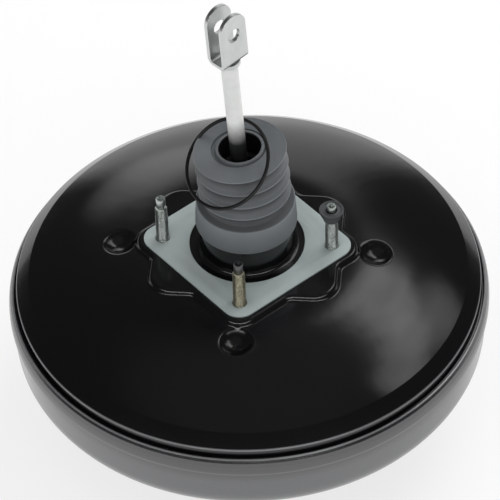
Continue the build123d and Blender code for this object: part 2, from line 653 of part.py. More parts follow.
def valve_body():
    """Tube, flange with its groove, boss, bores, air seat, key slot and vacuum passages."""
    body = disc(TUBE_RADIUS, FLANGE_TOP_Z, TUBE_TOP)
    body += disc(FLANGE_RADIUS, FLANGE_LOW_Z, FLANGE_TOP_Z)
    body += disc(BOSS_RADIUS, BOSS_FACE_Z, FLANGE_LOW_Z)
    body -= ring(FLANGE_RADIUS + PAST, FLANGE_RADIUS - BEAD_WIDTH, GROOVE_LOW, GROOVE_HIGH)
    body -= disc(TUBE_BORE, VALVE_FLOOR_Z, TUBE_TOP + PAST)
    body += ring(SEAT_RADIUS, SEAT_RADIUS - SEAT_WIDTH, VALVE_FLOOR_Z, VALVE_FLOOR_Z + SEAT_HEIGHT)
    body -= disc(PLUNGER_RADIUS + SLIDE_CLEARANCE, BOSS_FACE_Z, VALVE_FLOOR_Z + PAST)
    body -= disc(DISC_RADIUS, BOSS_FACE_Z - PAST, DISC_TOP_Z)
    slot_width = KEY_WIDTH + 2 * KEY_ROOM
    body -= Pos(0, 0, KEY_Z) * Box(slot_width, 3 * TUBE_RADIUS, KEY_THICKNESS + 2 * KEY_ROOM)
    for side in (-1, 1):
        body -= disc(PASSAGE_RADIUS, BOSS_FACE_Z - PAST, VALVE_FLOOR_Z + PAST, side * PASSAGE_OFFSET)
    return body


def stop_key():
    """Flat fork that limits the plunger's travel and stops the piston on the rear shell."""
    length = 2 * (NECK_BORE + KEY_HOLD)
    key = Pos(0, 0, KEY_Z) * Box(KEY_WIDTH, length, KEY_THICKNESS)
    slot = PLUNGER_NECK_RADIUS + FOLD_GAP
    key -= disc(slot, KEY_Z - KEY_THICKNESS, KEY_Z + KEY_THICKNESS)
    key -= Pos(0, length / 2, KEY_Z) * Box(2 * slot, length, 2 * KEY_THICKNESS)
    return key


def reaction_disc():
    return disc(DISC_RADIUS - FOLD_GAP / 2, DISC_TOP_Z - DISC_THICKNESS, DISC_TOP_Z)


def output_rod():
    """Head against the reaction disc, shank and turned-down tip for the master cylinder."""
    head_top = DISC_TOP_Z - DISC_THICKNESS
    rod = disc(DISC_RADIUS - FOLD_GAP / 2, head_top - OUTPUT_HEAD, head_top)
    rod += disc(OUTPUT_RADIUS, OUTPUT_TIP_Z + OUTPUT_TIP_LENGTH, head_top - OUTPUT_HEAD)
    tip = disc(OUTPUT_TIP_RADIUS, OUTPUT_TIP_Z, OUTPUT_TIP_Z + OUTPUT_TIP_LENGTH)
    return rod + fillet(tip.edges().sort_by(Axis.Z)[0], OUTPUT_TIP_ROUND)


def output_rod_retainer():
    """Pressed cup that keeps the output rod in the valve body and centres the return spring."""
    low = BOSS_FACE_Z - CUP_WALL
    cup = ring(BOSS_RADIUS + CUP_WALL, DISC_RADIUS - CUP_LIP, low, BOSS_FACE_Z)
    cup += ring(BOSS_RADIUS + CUP_WALL, BOSS_RADIUS, BOSS_FACE_Z, BOSS_FACE_Z + CUP_SKIRT)
    for side in (-1, 1):
        cup -= disc(PASSAGE_RADIUS, low - PAST, BOSS_FACE_Z + PAST, side * PASSAGE_OFFSET)
    return cup


def plate_edge_z():
    """Height of the plate's edge, a set room under the rear shell's inside."""
    return crown_height(PLATE_RADIUS) - SHELL_WALL - PLATE_EDGE_ROOM


def diaphragm_plate():
    """Dished steel plate with a skirt that the diaphragm rolls along."""
    hub_z = GROOVE_LOW + PLATE_THICKNESS
    edge_z = plate_edge_z()
    t = PLATE_THICKNESS
    inner = FLANGE_RADIUS - BEAD_WIDTH
    flat = FLANGE_RADIUS + PLATE_HUB_REACH
    corner = PLATE_RADIUS - PLATE_CORNER
    bevel_z = edge_z - PLATE_CORNER
    miter = t * math.tan(math.radians(22.5))
    return turned(
        (inner, hub_z), (flat, hub_z), (corner, edge_z), (PLATE_RADIUS, bevel_z),
        (PLATE_RADIUS, PLATE_SKIRT_Z), (PLATE_RADIUS - t, PLATE_SKIRT_Z),
        (PLATE_RADIUS - t, bevel_z - miter), (corner - miter, edge_z - t),
        (flat, hub_z - t), (inner, hub_z - t),
    )


def diaphragm():
    """Rolling rubber diaphragm, from its rim bead over the plate to the valve body's groove."""
    t = RUBBER
    hub_z = GROOVE_LOW + PLATE_THICKNESS + FOLD_GAP
    edge_z = plate_edge_z() + FOLD_GAP
    inner = FLANGE_RADIUS - BEAD_WIDTH + FOLD_GAP
    flat = FLANGE_RADIUS + PLATE_HUB_REACH
    corner = PLATE_RADIUS - PLATE_CORNER
    bevel_z = edge_z - PLATE_CORNER
    miter = t * math.tan(math.radians(22.5))
    leg = PLATE_RADIUS + FOLD_GAP
    roll = (ROLL_OUTER - t - leg - t) / 2
    middle = (ROLL_OUTER + leg) / 2
    bead_top = LIP_TOP - 2 * SHELL_WALL
    bead_low = CREASE_Z + SHELL_WALL
    bead_outer = SHELL_RADIUS - SHELL_WALL - FLANGE_SIDE_GAP
    sheet = turned(
        (inner, hub_z), (flat, hub_z), (corner, edge_z), (leg, bevel_z), (leg, ROLL_Z),
        (leg + t, ROLL_Z), (leg + t, bevel_z + miter), (corner + miter, edge_z + t),
        (flat, hub_z + t), (inner, hub_z + t),
    )
    sheet += ring(ROLL_OUTER, ROLL_OUTER - t, ROLL_Z, bead_low)
    fold = Circle(roll + t) - Circle(roll)
    fold -= Pos(0, roll + t) * Rectangle(4 * roll, 2 * (roll + t))
    sheet += revolve(Plane.XZ * (Pos(middle, ROLL_Z) * fold), Axis.Z)
    sheet += ring(bead_outer, ROLL_OUTER - t, bead_low, bead_top)
    return sheet


def return_spring():
    return spring(SPRING_LOW_RADIUS, SPRING_WIRE, FRONT_PLATE_TOP, FLANGE_LOW_Z,
                  SPRING_TURNS, SPRING_HIGH_RADIUS)


# Control valve, from the plunger to the air filter

def valve_plunger():
    """Plunger that meets the reaction disc in front and takes the rod's ball behind."""
    neck_low = KEY_Z - KEY_THICKNESS / 2 - PLUNGER_STROKE
    neck_high = KEY_Z + KEY_THICKNESS / 2 + FACE_GAP + PLUNGER_STROKE
    socket_low = VALVE_FLOOR_Z + PLUNGER_STROKE + SOCKET_LIFT
    body = disc(PLUNGER_RADIUS, DISC_TOP_Z + PLUNGER_GAP, neck_low)
    body += disc(PLUNGER_NECK_RADIUS, KEY_Z - PLUNGER_NECK_REACH, KEY_Z + PLUNGER_NECK_REACH)
    body += disc(PLUNGER_RADIUS, neck_high, socket_low)
    body += disc(SOCKET_RADIUS, socket_low, BALL_Z + SOCKET_OVER_BALL)
    body -= Pos(0, 0, BALL_Z) * Sphere(BALL_RADIUS + BALL_CLEARANCE)
    mouth = Cone(MOUTH_LOW_RADIUS, MOUTH_HIGH_RADIUS, MOUTH_HEIGHT,
                 align=(Align.CENTER, Align.CENTER, Align.MIN))
    return body - Pos(0, 0, BALL_Z) * mouth


def poppet_valve():
    """Rubber ring valve with a bellows that lets its face follow the plunger."""
    face_z = VALVE_FLOOR_Z + SEAT_HEIGHT
    back_z = face_z + POPPET_THICKNESS
    bead_z = POPPET_TOP - POPPET_THICKNESS
    inner = SOCKET_RADIUS + POPPET_EDGE_ROOM
    outer = TUBE_BORE - POPPET_EDGE_ROOM
    bellows = TUBE_BORE - BELLOWS_FROM_BORE
    return turned(
        (inner, face_z), (outer, face_z), (outer, back_z), (bellows, back_z), (bellows, bead_z),
        (TUBE_BORE, bead_z), (TUBE_BORE, POPPET_TOP), (bellows - BELLOWS_WALL, POPPET_TOP),
        (bellows - BELLOWS_WALL, back_z), (inner, back_z),
    )


def poppet_retainer():
    """Pressed ring that holds the poppet's bead and seats the rod's spring."""
    low = POPPET_TOP
    top = low + RETAINER_LIP
    t = RETAINER_SHEET
    inner = TUBE_BORE - RETAINER_REACH
    return turned(
        (inner, low), (TUBE_BORE, low), (TUBE_BORE, top),
        (TUBE_BORE - t, top), (TUBE_BORE - t, low + t), (inner, low + t),
    )


def poppet_spring():
    low = VALVE_FLOOR_Z + SEAT_HEIGHT + POPPET_THICKNESS
    radius = SOCKET_RADIUS + POPPET_SPRING_ROOM
    return spring(radius, POPPET_SPRING_WIRE, low, POPPET_TOP, POPPET_SPRING_TURNS)


def rod_return_spring():
    low = POPPET_TOP + RETAINER_SHEET
    high = SPRING_CUP_TOP - SPRING_CUP_THICKNESS
    top_radius = SPRING_CUP_RADIUS - ROD_SPRING_WIRE
    radius = TUBE_BORE - ROD_SPRING_FROM_BORE
    return spring(radius, ROD_SPRING_WIRE, low, high, ROD_SPRING_TURNS, top_radius)


def spring_cup():
    """Loose washer that passes the rod spring's push to the collar on the rod."""
    low = SPRING_CUP_TOP - SPRING_CUP_THICKNESS
    return ring(SPRING_CUP_RADIUS, ROD_RADIUS + CUP_ROOM, low, SPRING_CUP_TOP)


def air_filter():
    outer = TUBE_BORE - FOLD_GAP
    return ring(outer, TUBE_BORE - FILTER_RING, AIR_FILTER_LOW, AIR_FILTER_LOW + FILTER_HEIGHT)


def silencer():
    low = AIR_FILTER_LOW + FILTER_HEIGHT
    return ring(TUBE_BORE - FOLD_GAP, TUBE_BORE - FILTER_RING, low, low + SILENCER_HEIGHT)


# Input rod and clevis, drawn upright on the ball's centre and then leaned

def leaned(shape):
    lean = Rot(0, 0, ROD_LEAN_TOWARDS) * Rot(0, ROD_LEAN, 0) * Rot(0, 0, -ROD_LEAN_TOWARDS)
    return Pos(0, 0, BALL_Z) * lean * shape


def input_rod():
    """Ball, thin neck, shank with its collar, and the rivet end that holds the clevis."""
    cone = Cone(ROD_NECK_RADIUS, ROD_RADIUS, ROD_NECK_CONE, align=(Align.CENTER, Align.CENTER, Align.MIN))
    rivet_top = CLEVIS_FROM_BALL + EAR_THICKNESS + RIVET_STEP
    rod = Sphere(BALL_RADIUS)
    rod += disc(ROD_NECK_RADIUS, 0, ROD_NECK_TOP)
    rod += Pos(0, 0, ROD_NECK_TOP) * cone
    rod += disc(ROD_RADIUS, ROD_NECK_TOP + ROD_NECK_CONE, CLEVIS_FROM_BALL)
    rod += disc(ROD_COLLAR_RADIUS, ROD_COLLAR_FROM_BALL, ROD_COLLAR_FROM_BALL + ROD_COLLAR_THICKNESS)
    rod += disc(ROD_RADIUS - RIVET_STEP, CLEVIS_FROM_BALL, rivet_top)
    return leaned(rod)


def clevis_collar():
    low = CLEVIS_FROM_BALL - CLEVIS_COLLAR_HEIGHT
    collar = ring(ROD_RADIUS + CLEVIS_COLLAR_STEP, ROD_RADIUS, low, CLEVIS_FROM_BALL)
    edge = collar.edges().filter_by(GeomType.CIRCLE).sort_by(Axis.Z)[0]
    return leaned(chamfer(edge, CLEVIS_COLLAR_CHAMFER))


def strap_section(half, low):
    """Filled U between two uprights, open at the top, in the plane across the pin."""
    top = EAR_TOP_CENTRE + EAR_WIDTH
    radius = BEND_RADIUS + (EAR_THICKNESS if low == 0 else 0)
    sides = FilletPolyline((-half, top), (-half, low), (half, low), (half, top), radius=radius)
    return make_face(sides + Line((half, top), (-half, top)))


def clevis():
    """U-shaped strap: two round-topped ears on a base that the rod is riveted through."""
    inside = EAR_GAP / 2
    half = inside + EAR_THICKNESS
    strap = strap_section(half, 0) - strap_section(inside, EAR_THICKNESS)
    body = extrude(Plane.YZ * strap, EAR_WIDTH / 2, both=True)
    side = Rectangle(EAR_WIDTH, EAR_TOP_CENTRE, align=(Align.CENTER, Align.MIN))
    side += Pos(0, EAR_TOP_CENTRE) * Circle(EAR_WIDTH / 2)
    body &= extrude(Plane.XZ * side, half + PAST, both=True)
    body -= Pos(0, 0, PIN_FROM_BASE) * Rot(90, 0, 0) * Cylinder(PIN_HOLE_RADIUS, 4 * half)
    body -= disc(ROD_RADIUS - RIVET_STEP, -PAST, EAR_THICKNESS + PAST)
    return leaned(Pos(0, 0, CLEVIS_FROM_BALL) * Rot(0, 0, CLEVIS_TURN) * body)


# Rubber outside: boot and loose ring

def boot_outline():
    """Outer folds of the boot from the skirt's foot to the top rim, as (radius, height)."""
    points = [(BOOT_SKIRT_RADIUS, BOOT_BOTTOM), (BOOT_SKIRT_RADIUS - BOOT_SKIRT_DRAFT, BOOT_SKIRT_TOP)]
    step = BOOT_FOLDS_HEIGHT / BOOT_CONVOLUTIONS
    for fold in range(BOOT_CONVOLUTIONS):
        low = BOOT_SKIRT_TOP + fold * step
        points.append((BOOT_RADIUS - BOOT_FOLD, low + BOOT_VALLEY))
        points.append((BOOT_RADIUS, low + step))
    return points


def dust_boot():
    """Folded rubber sleeve that grips the neck and closes round the rod with a lip."""
    outer = boot_outline()
    inner = [(radius - BOOT_WALL, height) for radius, height in outer]
    grip = NECK_RADIUS + FOLD_GAP
    roof = BOOT_TOP - BOOT_WALL
    inner[-1] = (BOOT_RADIUS - BOOT_WALL, roof)
    inner[0] = (grip, BOOT_BOTTOM)
    inner[1] = (grip, NECK_TOP + FOLD_GAP)
    mouth = [
        (BOOT_MOUTH, BOOT_TOP), (BOOT_MOUTH, roof - BOOT_MOUTH_LIP),
        (BOOT_MOUTH + BOOT_WALL, roof - BOOT_MOUTH_LIP), (BOOT_MOUTH + BOOT_WALL, roof),
    ]
    return turned(*outer, *mouth, *reversed(inner))


def seal_ring():
    x, y, z = RING_SHIFT
    tilt = Rot(0, 0, RING_LOW_TOWARDS) * Rot(0, RING_TILT, 0)
    return Pos(x, y, BOOT_TOP + z) * tilt * Torus(BOOT_RADIUS, RING_SECTION)


# Vacuum check valve, drawn on its own axis and set into the front shell

def at_port(shape):
    x, y = check_valve_place()
    return Pos(x, y, ANNULUS_Z) * Rot(0, 0, VALVE_ANGLE) * shape


def check_valve_grommet():
    """Rubber ring that grips both sides of the shell's hole and the valve's stem."""
    edge = PORT_RADIUS + GROMMET_LIP
    top = SHELL_WALL + GROMMET_HIGH
    return at_port(turned(
        (VALVE_STEM_RADIUS, -GROMMET_LOW), (edge - GROMMET_SLOPE, -GROMMET_LOW / 2), (edge, 0),
        (PORT_RADIUS, 0), (PORT_RADIUS, SHELL_WALL), (edge - GROMMET_SLOPE, SHELL_WALL),
        (PORT_RADIUS + GROMMET_HIGH_LIP, top), (VALVE_STEM_RADIUS, top),
    ))


def check_valve_body():
    """Stem through the grommet, valve chamber and a side nipple for the vacuum hose."""
    low = -VALVE_CHAMBER_DEPTH
    root = VALVE_CHAMBER_RADIUS + NIPPLE_ROOT_LENGTH
    reach = root + NIPPLE_LENGTH
    nipple = Pos(0, 0, low + NIPPLE_ROOT_RADIUS) * Rot(0, 90, 0)
    body = disc(VALVE_STEM_RADIUS, -VALVE_STEM_REACH, SHELL_WALL + VALVE_STEM_REACH)
    body += disc(VALVE_CHAMBER_RADIUS, low, -VALVE_STEM_REACH)
    body += nipple * disc(NIPPLE_RADIUS, 0, reach)
    body += nipple * disc(NIPPLE_ROOT_RADIUS, 0, root)
    body -= disc(CHECK_SEAT_RADIUS, CHECK_ROOF, SHELL_WALL + VALVE_STEM_REACH + PAST)
    body -= disc(VALVE_CHAMBER_RADIUS - VALVE_CHAMBER_WALL, low + VALVE_CHAMBER_FLOOR, CHECK_ROOF)
    body -= nipple * disc(NIPPLE_BORE, 0, reach + PAST)
    return at_port(body)


def check_valve_poppet():
    top = CHECK_ROOF - FOLD_GAP
    radius = VALVE_CHAMBER_RADIUS - VALVE_CHAMBER_WALL - CHECK_POPPET_ROOM
    poppet = disc(radius, top - CHECK_POPPET_THICKNESS, top)
    return at_port(poppet + disc(CHECK_POPPET_STEM_RADIUS, top, top + CHECK_POPPET_STEM_LENGTH))


def check_valve_spring():
    low = -VALVE_CHAMBER_DEPTH + VALVE_CHAMBER_FLOOR
    high = CHECK_ROOF - FOLD_GAP - CHECK_POPPET_THICKNESS
    return at_port(spring(CHECK_SPRING_RADIUS, CHECK_SPRING_WIRE, low, high, CHECK_SPRING_TURNS))


NODES = {
    "front_shell": front_shell,
    "rear_shell": rear_shell,
    "rear_reinforcement_plate": rear_reinforcement_plate,
    "front_reinforcement_plate": front_reinforcement_plate,
    "bulkhead_studs": bulkhead_studs,
    "master_cylinder_studs": master_cylinder_studs,
    "mounting_gasket": mounting_gasket,
    "stud_cap": stud_cap,
    "seal_retainer": seal_retainer,
    "guide_bush": guide_bush,
    "neck_seal": neck_seal,
    "valve_body": valve_body,
    "stop_key": stop_key,
    "reaction_disc": reaction_disc,
    "output_rod": output_rod,
    "output_rod_retainer": output_rod_retainer,
    "diaphragm_plate": diaphragm_plate,
    "diaphragm": diaphragm,
    "return_spring": return_spring,
    "valve_plunger": valve_plunger,
    "poppet_valve": poppet_valve,
    "poppet_retainer": poppet_retainer,
    "poppet_spring": poppet_spring,
    "rod_return_spring": rod_return_spring,
    "spring_cup": spring_cup,
    "air_filter": air_filter,
    "silencer": silencer,
    "input_rod": input_rod,
    "clevis": clevis,
    "clevis_collar": clevis_collar,
    "dust_boot": dust_boot,
    "seal_ring": seal_ring,
    "check_valve_grommet": check_valve_grommet,
    "check_valve_body": check_valve_body,
    "check_valve_poppet": check_valve_poppet,
    "check_valve_spring": check_valve_spring,
}

os.makedirs("parts", exist_ok=True)
for name, make in NODES.items():
    export_step(make(), f"parts/{name}.step")
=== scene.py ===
# The looks of a vacuum brake booster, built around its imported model.
# Metres, in the frame of the model: the origin is the middle of the bulkhead face,
# +Z runs towards the pedal, and X and Y follow the sides of the square stud pattern.

import math

import bpy
from mathutils import Matrix, Vector


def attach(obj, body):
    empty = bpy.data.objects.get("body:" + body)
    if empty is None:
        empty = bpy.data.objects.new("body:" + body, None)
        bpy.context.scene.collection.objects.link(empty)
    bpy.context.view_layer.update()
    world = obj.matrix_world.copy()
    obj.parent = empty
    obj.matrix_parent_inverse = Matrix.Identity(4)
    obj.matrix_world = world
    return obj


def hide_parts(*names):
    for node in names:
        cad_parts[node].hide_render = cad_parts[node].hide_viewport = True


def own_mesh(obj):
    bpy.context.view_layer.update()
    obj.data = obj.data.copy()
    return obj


MM = 0.001
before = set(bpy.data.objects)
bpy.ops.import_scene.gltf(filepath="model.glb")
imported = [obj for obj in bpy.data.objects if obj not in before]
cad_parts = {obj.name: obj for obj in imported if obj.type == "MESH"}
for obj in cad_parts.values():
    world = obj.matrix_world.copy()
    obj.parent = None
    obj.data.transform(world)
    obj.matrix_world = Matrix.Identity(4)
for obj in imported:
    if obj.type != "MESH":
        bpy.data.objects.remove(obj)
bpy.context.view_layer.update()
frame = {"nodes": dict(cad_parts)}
nodes = frame["nodes"]

# Sizes that the pieces share, in mm
SHEET = 1.5
FACE = -1.2                 # the rear shell's face under the gasket
CROWN = FACE - 3.2           # top of the crown, if the pad weren't pressed in it
FLAT_RADIUS = 60.0          # the crown is flat inside this
CROWN_RADIUS = 159.8        # of the arc that it falls by
CROWN_EDGE = 136.5
REAR_RADIUS = 144.8
RIM = -30.8                 # height of the rear shell's outer corner
LIP_TOP = -35.8             # top of the front shell's folded lip
CREASE = -49.0              # where the front shell's wall starts
NECK_RADIUS = 28.6
NECK_TOP = 33.0
COVE_OUT = 32.1             # radius where the cove round the neck meets the face
COVE_RADIUS = 3.5
STUD_SPACING = 74.0
MASTER_STUD_SPACING = 92.0
ANNULUS = -86.0             # the front shell's flat ring
HUB_FACE = -116.0           # where the master cylinder sits
VALVE_OUT = 116.0           # the check valve's distance from the axis
BALL = Vector((0, 0, 12.0))     # centre that the input rod swings on
ROD_LEAN = 2.8              # degrees
ROD_LEAN_TOWARDS = 141.5    # degrees from +X


# Shader maths

class Value:
    """A socket that can be used in plain arithmetic; each operation adds one Math node."""

    def __init__(self, nodes, socket):
        self.nodes = nodes
        self.socket = socket

    def maths(self, operation, other, swapped=False):
        """One Math node; swapped puts the other value first."""
        pair = (other, self) if swapped else (self, other)
        return self.nodes.node("ShaderNodeMath", {"operation": operation}, {0: pair[0], 1: pair[1]})

    def __add__(self, other):
        return self.maths("ADD", other)

    def __sub__(self, other):
        return self.maths("SUBTRACT", other)

    def __rsub__(self, other):
        return self.maths("SUBTRACT", other, True)

    def __mul__(self, other):
        return self.maths("MULTIPLY", other)

    def __truediv__(self, other):
        return self.maths("DIVIDE", other)

    def __abs__(self):
        return self.maths("ABSOLUTE", 0.0)


class Nodes:
    """A node tree: numbers and Values go into a node, and a Value comes out."""

    def __init__(self, tree):
        self.tree = tree

    def feed(self, target, value):
        """Links a Value to a socket, or sets a plain number, vector or colour on it."""
        if isinstance(value, Value):
            self.tree.links.new(value.socket, target)
        elif isinstance(value, tuple) and target.type == "RGBA":
            target.default_value = (*value, 1.0)
        else:
            target.default_value = value

    def node(self, kind, settings=None, inputs=None, output=0):
        """Adds a node and gives one of its outputs."""
        made = self.tree.nodes.new(kind)
        for key, value in (settings or {}).items():
            setattr(made, key, value)
        for key, value in (inputs or {}).items():
            self.feed(made.inputs[key], value)
        return Value(self, made.outputs[output])

    def between(self, value, low, high, to_low, to_high, kind="LINEAR"):
        """value, mapped from one range to another and held there."""
        return self.node("ShaderNodeMapRange", {"clamp": True, "interpolation_type": kind},
                         {"Value": value, "From Min": low, "From Max": high,
                          "To Min": to_low, "To Max": to_high})

    def noise(self, place, scale, detail=2.0, roughness=0.5):
        return self.node("ShaderNodeTexNoise", None,
                         {"Vector": place, "Scale": scale, "Detail": detail, "Roughness": roughness})


class Finish(Nodes):
    """One material around a main shader; every pattern of it reads Object coordinates."""

    def __init__(self, name, colour, roughness, metallic=0.0, **settings):
        self.material = bpy.data.materials.new(name)
        self.material.use_nodes = True
        super().__init__(self.material.node_tree)
        self.shader = self.tree.nodes["Principled BSDF"]
        self.set("Base Color", colour)
        self.set("Roughness", roughness)
        self.set("Metallic", metallic)
        for socket, value in settings.items():
            self.set(socket.replace("_", " "), value)
        self.place = self.node("ShaderNodeTexCoord", output="Object")

    def set(self, socket, value):
        self.feed(self.shader.inputs[socket], value)

    def grain(self, scale, detail=2.0, roughness=0.5, stretch=None):
        place = self.place
        if stretch:
            place = self.node("ShaderNodeMapping", None, {"Vector": place, "Scale": stretch})
        return self.noise(place, scale, detail, roughness)

    def height(self):
        """Object coordinate Z."""
        return self.node("ShaderNodeSeparateXYZ", None, {"Vector": self.place}, "Z")

    def near(self, level, reach):
        """One at a height in mm, and none farther from it than the reach."""
        return self.between(abs(self.height() - level * MM), reach * 0.4 * MM, reach * MM, 1.0, 0.0)

    def mixed(self, factor, first, second):
        """A colour between two colours; 6 and 7 are the Mix node's colour inputs, 2 its colour output."""
        return self.node("ShaderNodeMix", {"data_type": "RGBA"}, {0: factor, 6: first, 7: second}, 2)

    def bump(self, height, strength, distance=0.0002):
        self.set("Normal", self.node("ShaderNodeBump", None,
                                     {"Height": height, "Strength": strength, "Distance": distance}))


DEEP_BLACK = (0.0028, 0.0029, 0.0033)
DUST_AND_HIGHLIGHT_PALE = (0.2, 0.205, 0.21)      # pale colour: the dust specks on the rear shell, and a painted highlight along the rim's and lip's corners


def make_gloss_black():
    """Stoved black paint of the rear shell: deep gloss over a slightly wavy pressing, with a little dust, and a
    painted highlight along the rim's corner.
    """
    f = Finish("gloss_black_paint", DEEP_BLACK, 0.16, Coat_Weight=0.2, Coat_Roughness=0.06)
    peel = f.grain(420.0, 3.0)
    waves = f.grain(55.0, 2.0, 0.45)
    cloud = f.grain(9.0, 3.0, 0.6)
    specks = f.between(f.grain(1500.0, 2.0, 0.7), 0.69, 0.8, 0.0, 0.04)
    # painted highlight: a pale line painted along the rim's outer corner, patchy with the clouds
    edge = f.near(RIM - 0.1, 0.75) * f.between(cloud, 0.35, 0.65, 0.5, 1.0)
    f.set("Base Color", f.mixed(specks + edge, DEEP_BLACK, DUST_AND_HIGHLIGHT_PALE))
    f.set("Roughness", f.between(cloud, 0.3, 0.7, 0.13, 0.21) + specks)
    f.bump(waves + peel * 0.06, 0.22, 0.0006)
    return f.material


def make_satin_black():
    """Black coating of the front shell, duller than the rear shell, paler down its wall as a painted reflection of the
    floor, with a painted highlight along its lip.
    """
    f = Finish("satin_black_coating", (0.014, 0.015, 0.016), 0.2, IOR=2.0)
    cloud = f.grain(12.0, 4.0, 0.6)
    grain = f.grain(900.0, 3.0, 0.6)
    base = f.mixed(f.between(cloud, 0.35, 0.7, 0.0, 1.0),
                   (0.012, 0.013, 0.014), (0.02, 0.021, 0.022))
    # painted reflection: the wall below the crease is painted paler, as the floor would show in it
    painted_floor_reflection = f.between(f.height(), (CREASE - 7.0) * MM, CREASE * MM, 1.0, 0.0)
    base = f.mixed(painted_floor_reflection, base, (0.052, 0.055, 0.058))
    # painted highlight: a pale line painted along the lip's top edge
    edge = f.near(LIP_TOP - 0.1, 0.6) * f.between(cloud, 0.35, 0.65, 0.5, 1.0)
    f.set("Base Color", f.mixed(edge, base, DUST_AND_HIGHLIGHT_PALE))
    f.set("Roughness", f.between(cloud, 0.3, 0.7, 0.16, 0.24) + f.between(grain, 0.4, 0.7, 0.0, 0.05))
    f.bump(grain, 0.12)
    return f.material


def make_gasket():
    """Pressed fibre gasket with a faint fleck."""
    f = Finish("grey_gasket_fibre", (0.3, 0.345, 0.34), 0.72)
    cloud = f.grain(25.0, 4.0, 0.6)
    fleck = f.grain(1300.0, 2.0, 0.6)
    base = f.mixed(f.between(cloud, 0.3, 0.7, 0.0, 1.0), (0.275, 0.32, 0.315), (0.325, 0.37, 0.365))
    f.set("Base Color", f.mixed(f.between(fleck, 0.6, 0.75, 0.0, 0.35), base, (0.4, 0.44, 0.43)))
    f.set("Roughness", f.between(fleck, 0.3, 0.7, 0.62, 0.8))
    f.bump(fleck, 0.15)
    return f.material


def make_plating(name, dull, bright, roughness, metallic, scale, stretch, height_band=None):
    """Plated steel: clouds between two tones, and fine marks that run along the piece.

    The band by height is (colour, height where it is full, height where it ends), in mm, with a ragged edge; the rod's
    band is painted shade."""
    f = Finish(name, bright, roughness, metallic)
    cloud = f.grain(scale, 4.0, 0.65)
    marks = f.grain(1100.0, 2.0, 0.5, stretch)
    tone = f.mixed(f.between(cloud, 0.3, 0.7, 0.0, 1.0), dull, bright)
    # a colour band by height; on the rod it is painted shade
    if height_band:
        colour, full, end = height_band
        ragged = f.height() + cloud * 0.006 - 0.003
        tone = f.mixed(f.between(ragged, full * MM, end * MM, 1.0, 0.0), tone, colour)
    f.set("Base Color", tone)
    f.set("Roughness", f.between(cloud, 0.3, 0.7, roughness - 0.05, roughness + 0.08)
          + f.between(marks, 0.3, 0.7, 0.0, 0.08))
    f.bump(marks, 0.14)
    return f.material


def make_moulding(name, dark, light, rough_low=0.45, rough_high=0.62, scale=1200.0, bloom_and_painted_light=0.0):
    """Rubber or plastic with a fine grain.

    With bloom it is old rubber: cloudy, and paler at painted highlights and darker at painted shade, as the mesh's
    attribute gives them."""
    f = Finish(name, dark, rough_high)
    grain = f.grain(scale, 3.0, 0.6)
    clouds = f.grain(38.0, 4.0, 0.62)
    tone = f.between(grain, 0.35, 0.7, 0.0, 1.0 - bloom_and_painted_light) + f.between(clouds, 0.35, 0.7, 0.0, bloom_and_painted_light)
    colour = f.mixed(tone, dark, light)
    if bloom_and_painted_light:
        # painted light from the mesh's attribute: darker below zero as painted shade, paler above zero as painted
        # highlight
        painted_highlight_shade = f.node("ShaderNodeAttribute", {"attribute_name": "painted_highlight_shade"}, None, "Fac")
        colour = f.mixed(f.between(painted_highlight_shade, -1.0, 0.0, 1.0, 0.0), colour, tuple(c * 0.42 for c in dark))
        colour = f.mixed(f.between(painted_highlight_shade, 0.0, 1.0, 0.0, 1.0), colour, tuple(c * 2.3 for c in light))
    f.set("Base Color", colour)
    f.set("Roughness", f.between(grain, 0.3, 0.7, rough_low, rough_high))
    f.bump(grain, 0.15)
    return f.material


def make_felt(name, dark, light):
    """Felt or foam: matt fibres between two tones."""
    f = Finish(name, dark, 0.95)
    fibre = f.grain(900.0, 4.0, 0.7)
    f.set("Base Color", f.mixed(f.between(fibre, 0.35, 0.7, 0.0, 1.0), dark, light))
    f.bump(fibre, 0.6, 0.0005)
    return f.material


ALONG = (1.0, 1.0, 0.08)       # draws the fine marks out along Z
EVENLY = (1.0, 1.0, 1.0)
gloss_black = make_gloss_black()
satin_black = make_satin_black()
gasket_fibre = make_gasket()
zinc = make_plating("bright_zinc_plate", (0.56, 0.58, 0.57), (0.74, 0.755, 0.745),
                    0.3, 1.0, 60.0, ALONG)
# the rod's dark band is painted shade: dark below 87 mm, fading out by 106 mm, where the rod goes down into the boot's
# mouth
rod_finish = make_plating("pale_satin_plate", (0.74, 0.76, 0.745), (0.88, 0.89, 0.875),
                          0.45, 0.25, 70.0, ALONG, ((0.01, 0.011, 0.011), 87.0, 106.0))
stud_steel = make_plating("plated_stud_steel", (0.40, 0.44, 0.42), (0.66, 0.70, 0.67),
                          0.27, 1.0, 260.0, EVENLY)
yellow_steel = make_plating("yellow_plated_stud", (0.2, 0.19, 0.14), (0.62, 0.585, 0.43),
                            0.32, 0.95, 700.0, EVENLY, ((0.14, 0.145, 0.145), 30.0, 25.0))
steel = make_plating("pressed_steel", (0.36, 0.365, 0.37), (0.5, 0.505, 0.51), 0.38, 1.0, 80.0, EVENLY)
spring_steel = make_plating("drawn_spring_wire", (0.2, 0.205, 0.21), (0.34, 0.345, 0.35),
                            0.34, 1.0, 80.0, EVENLY)
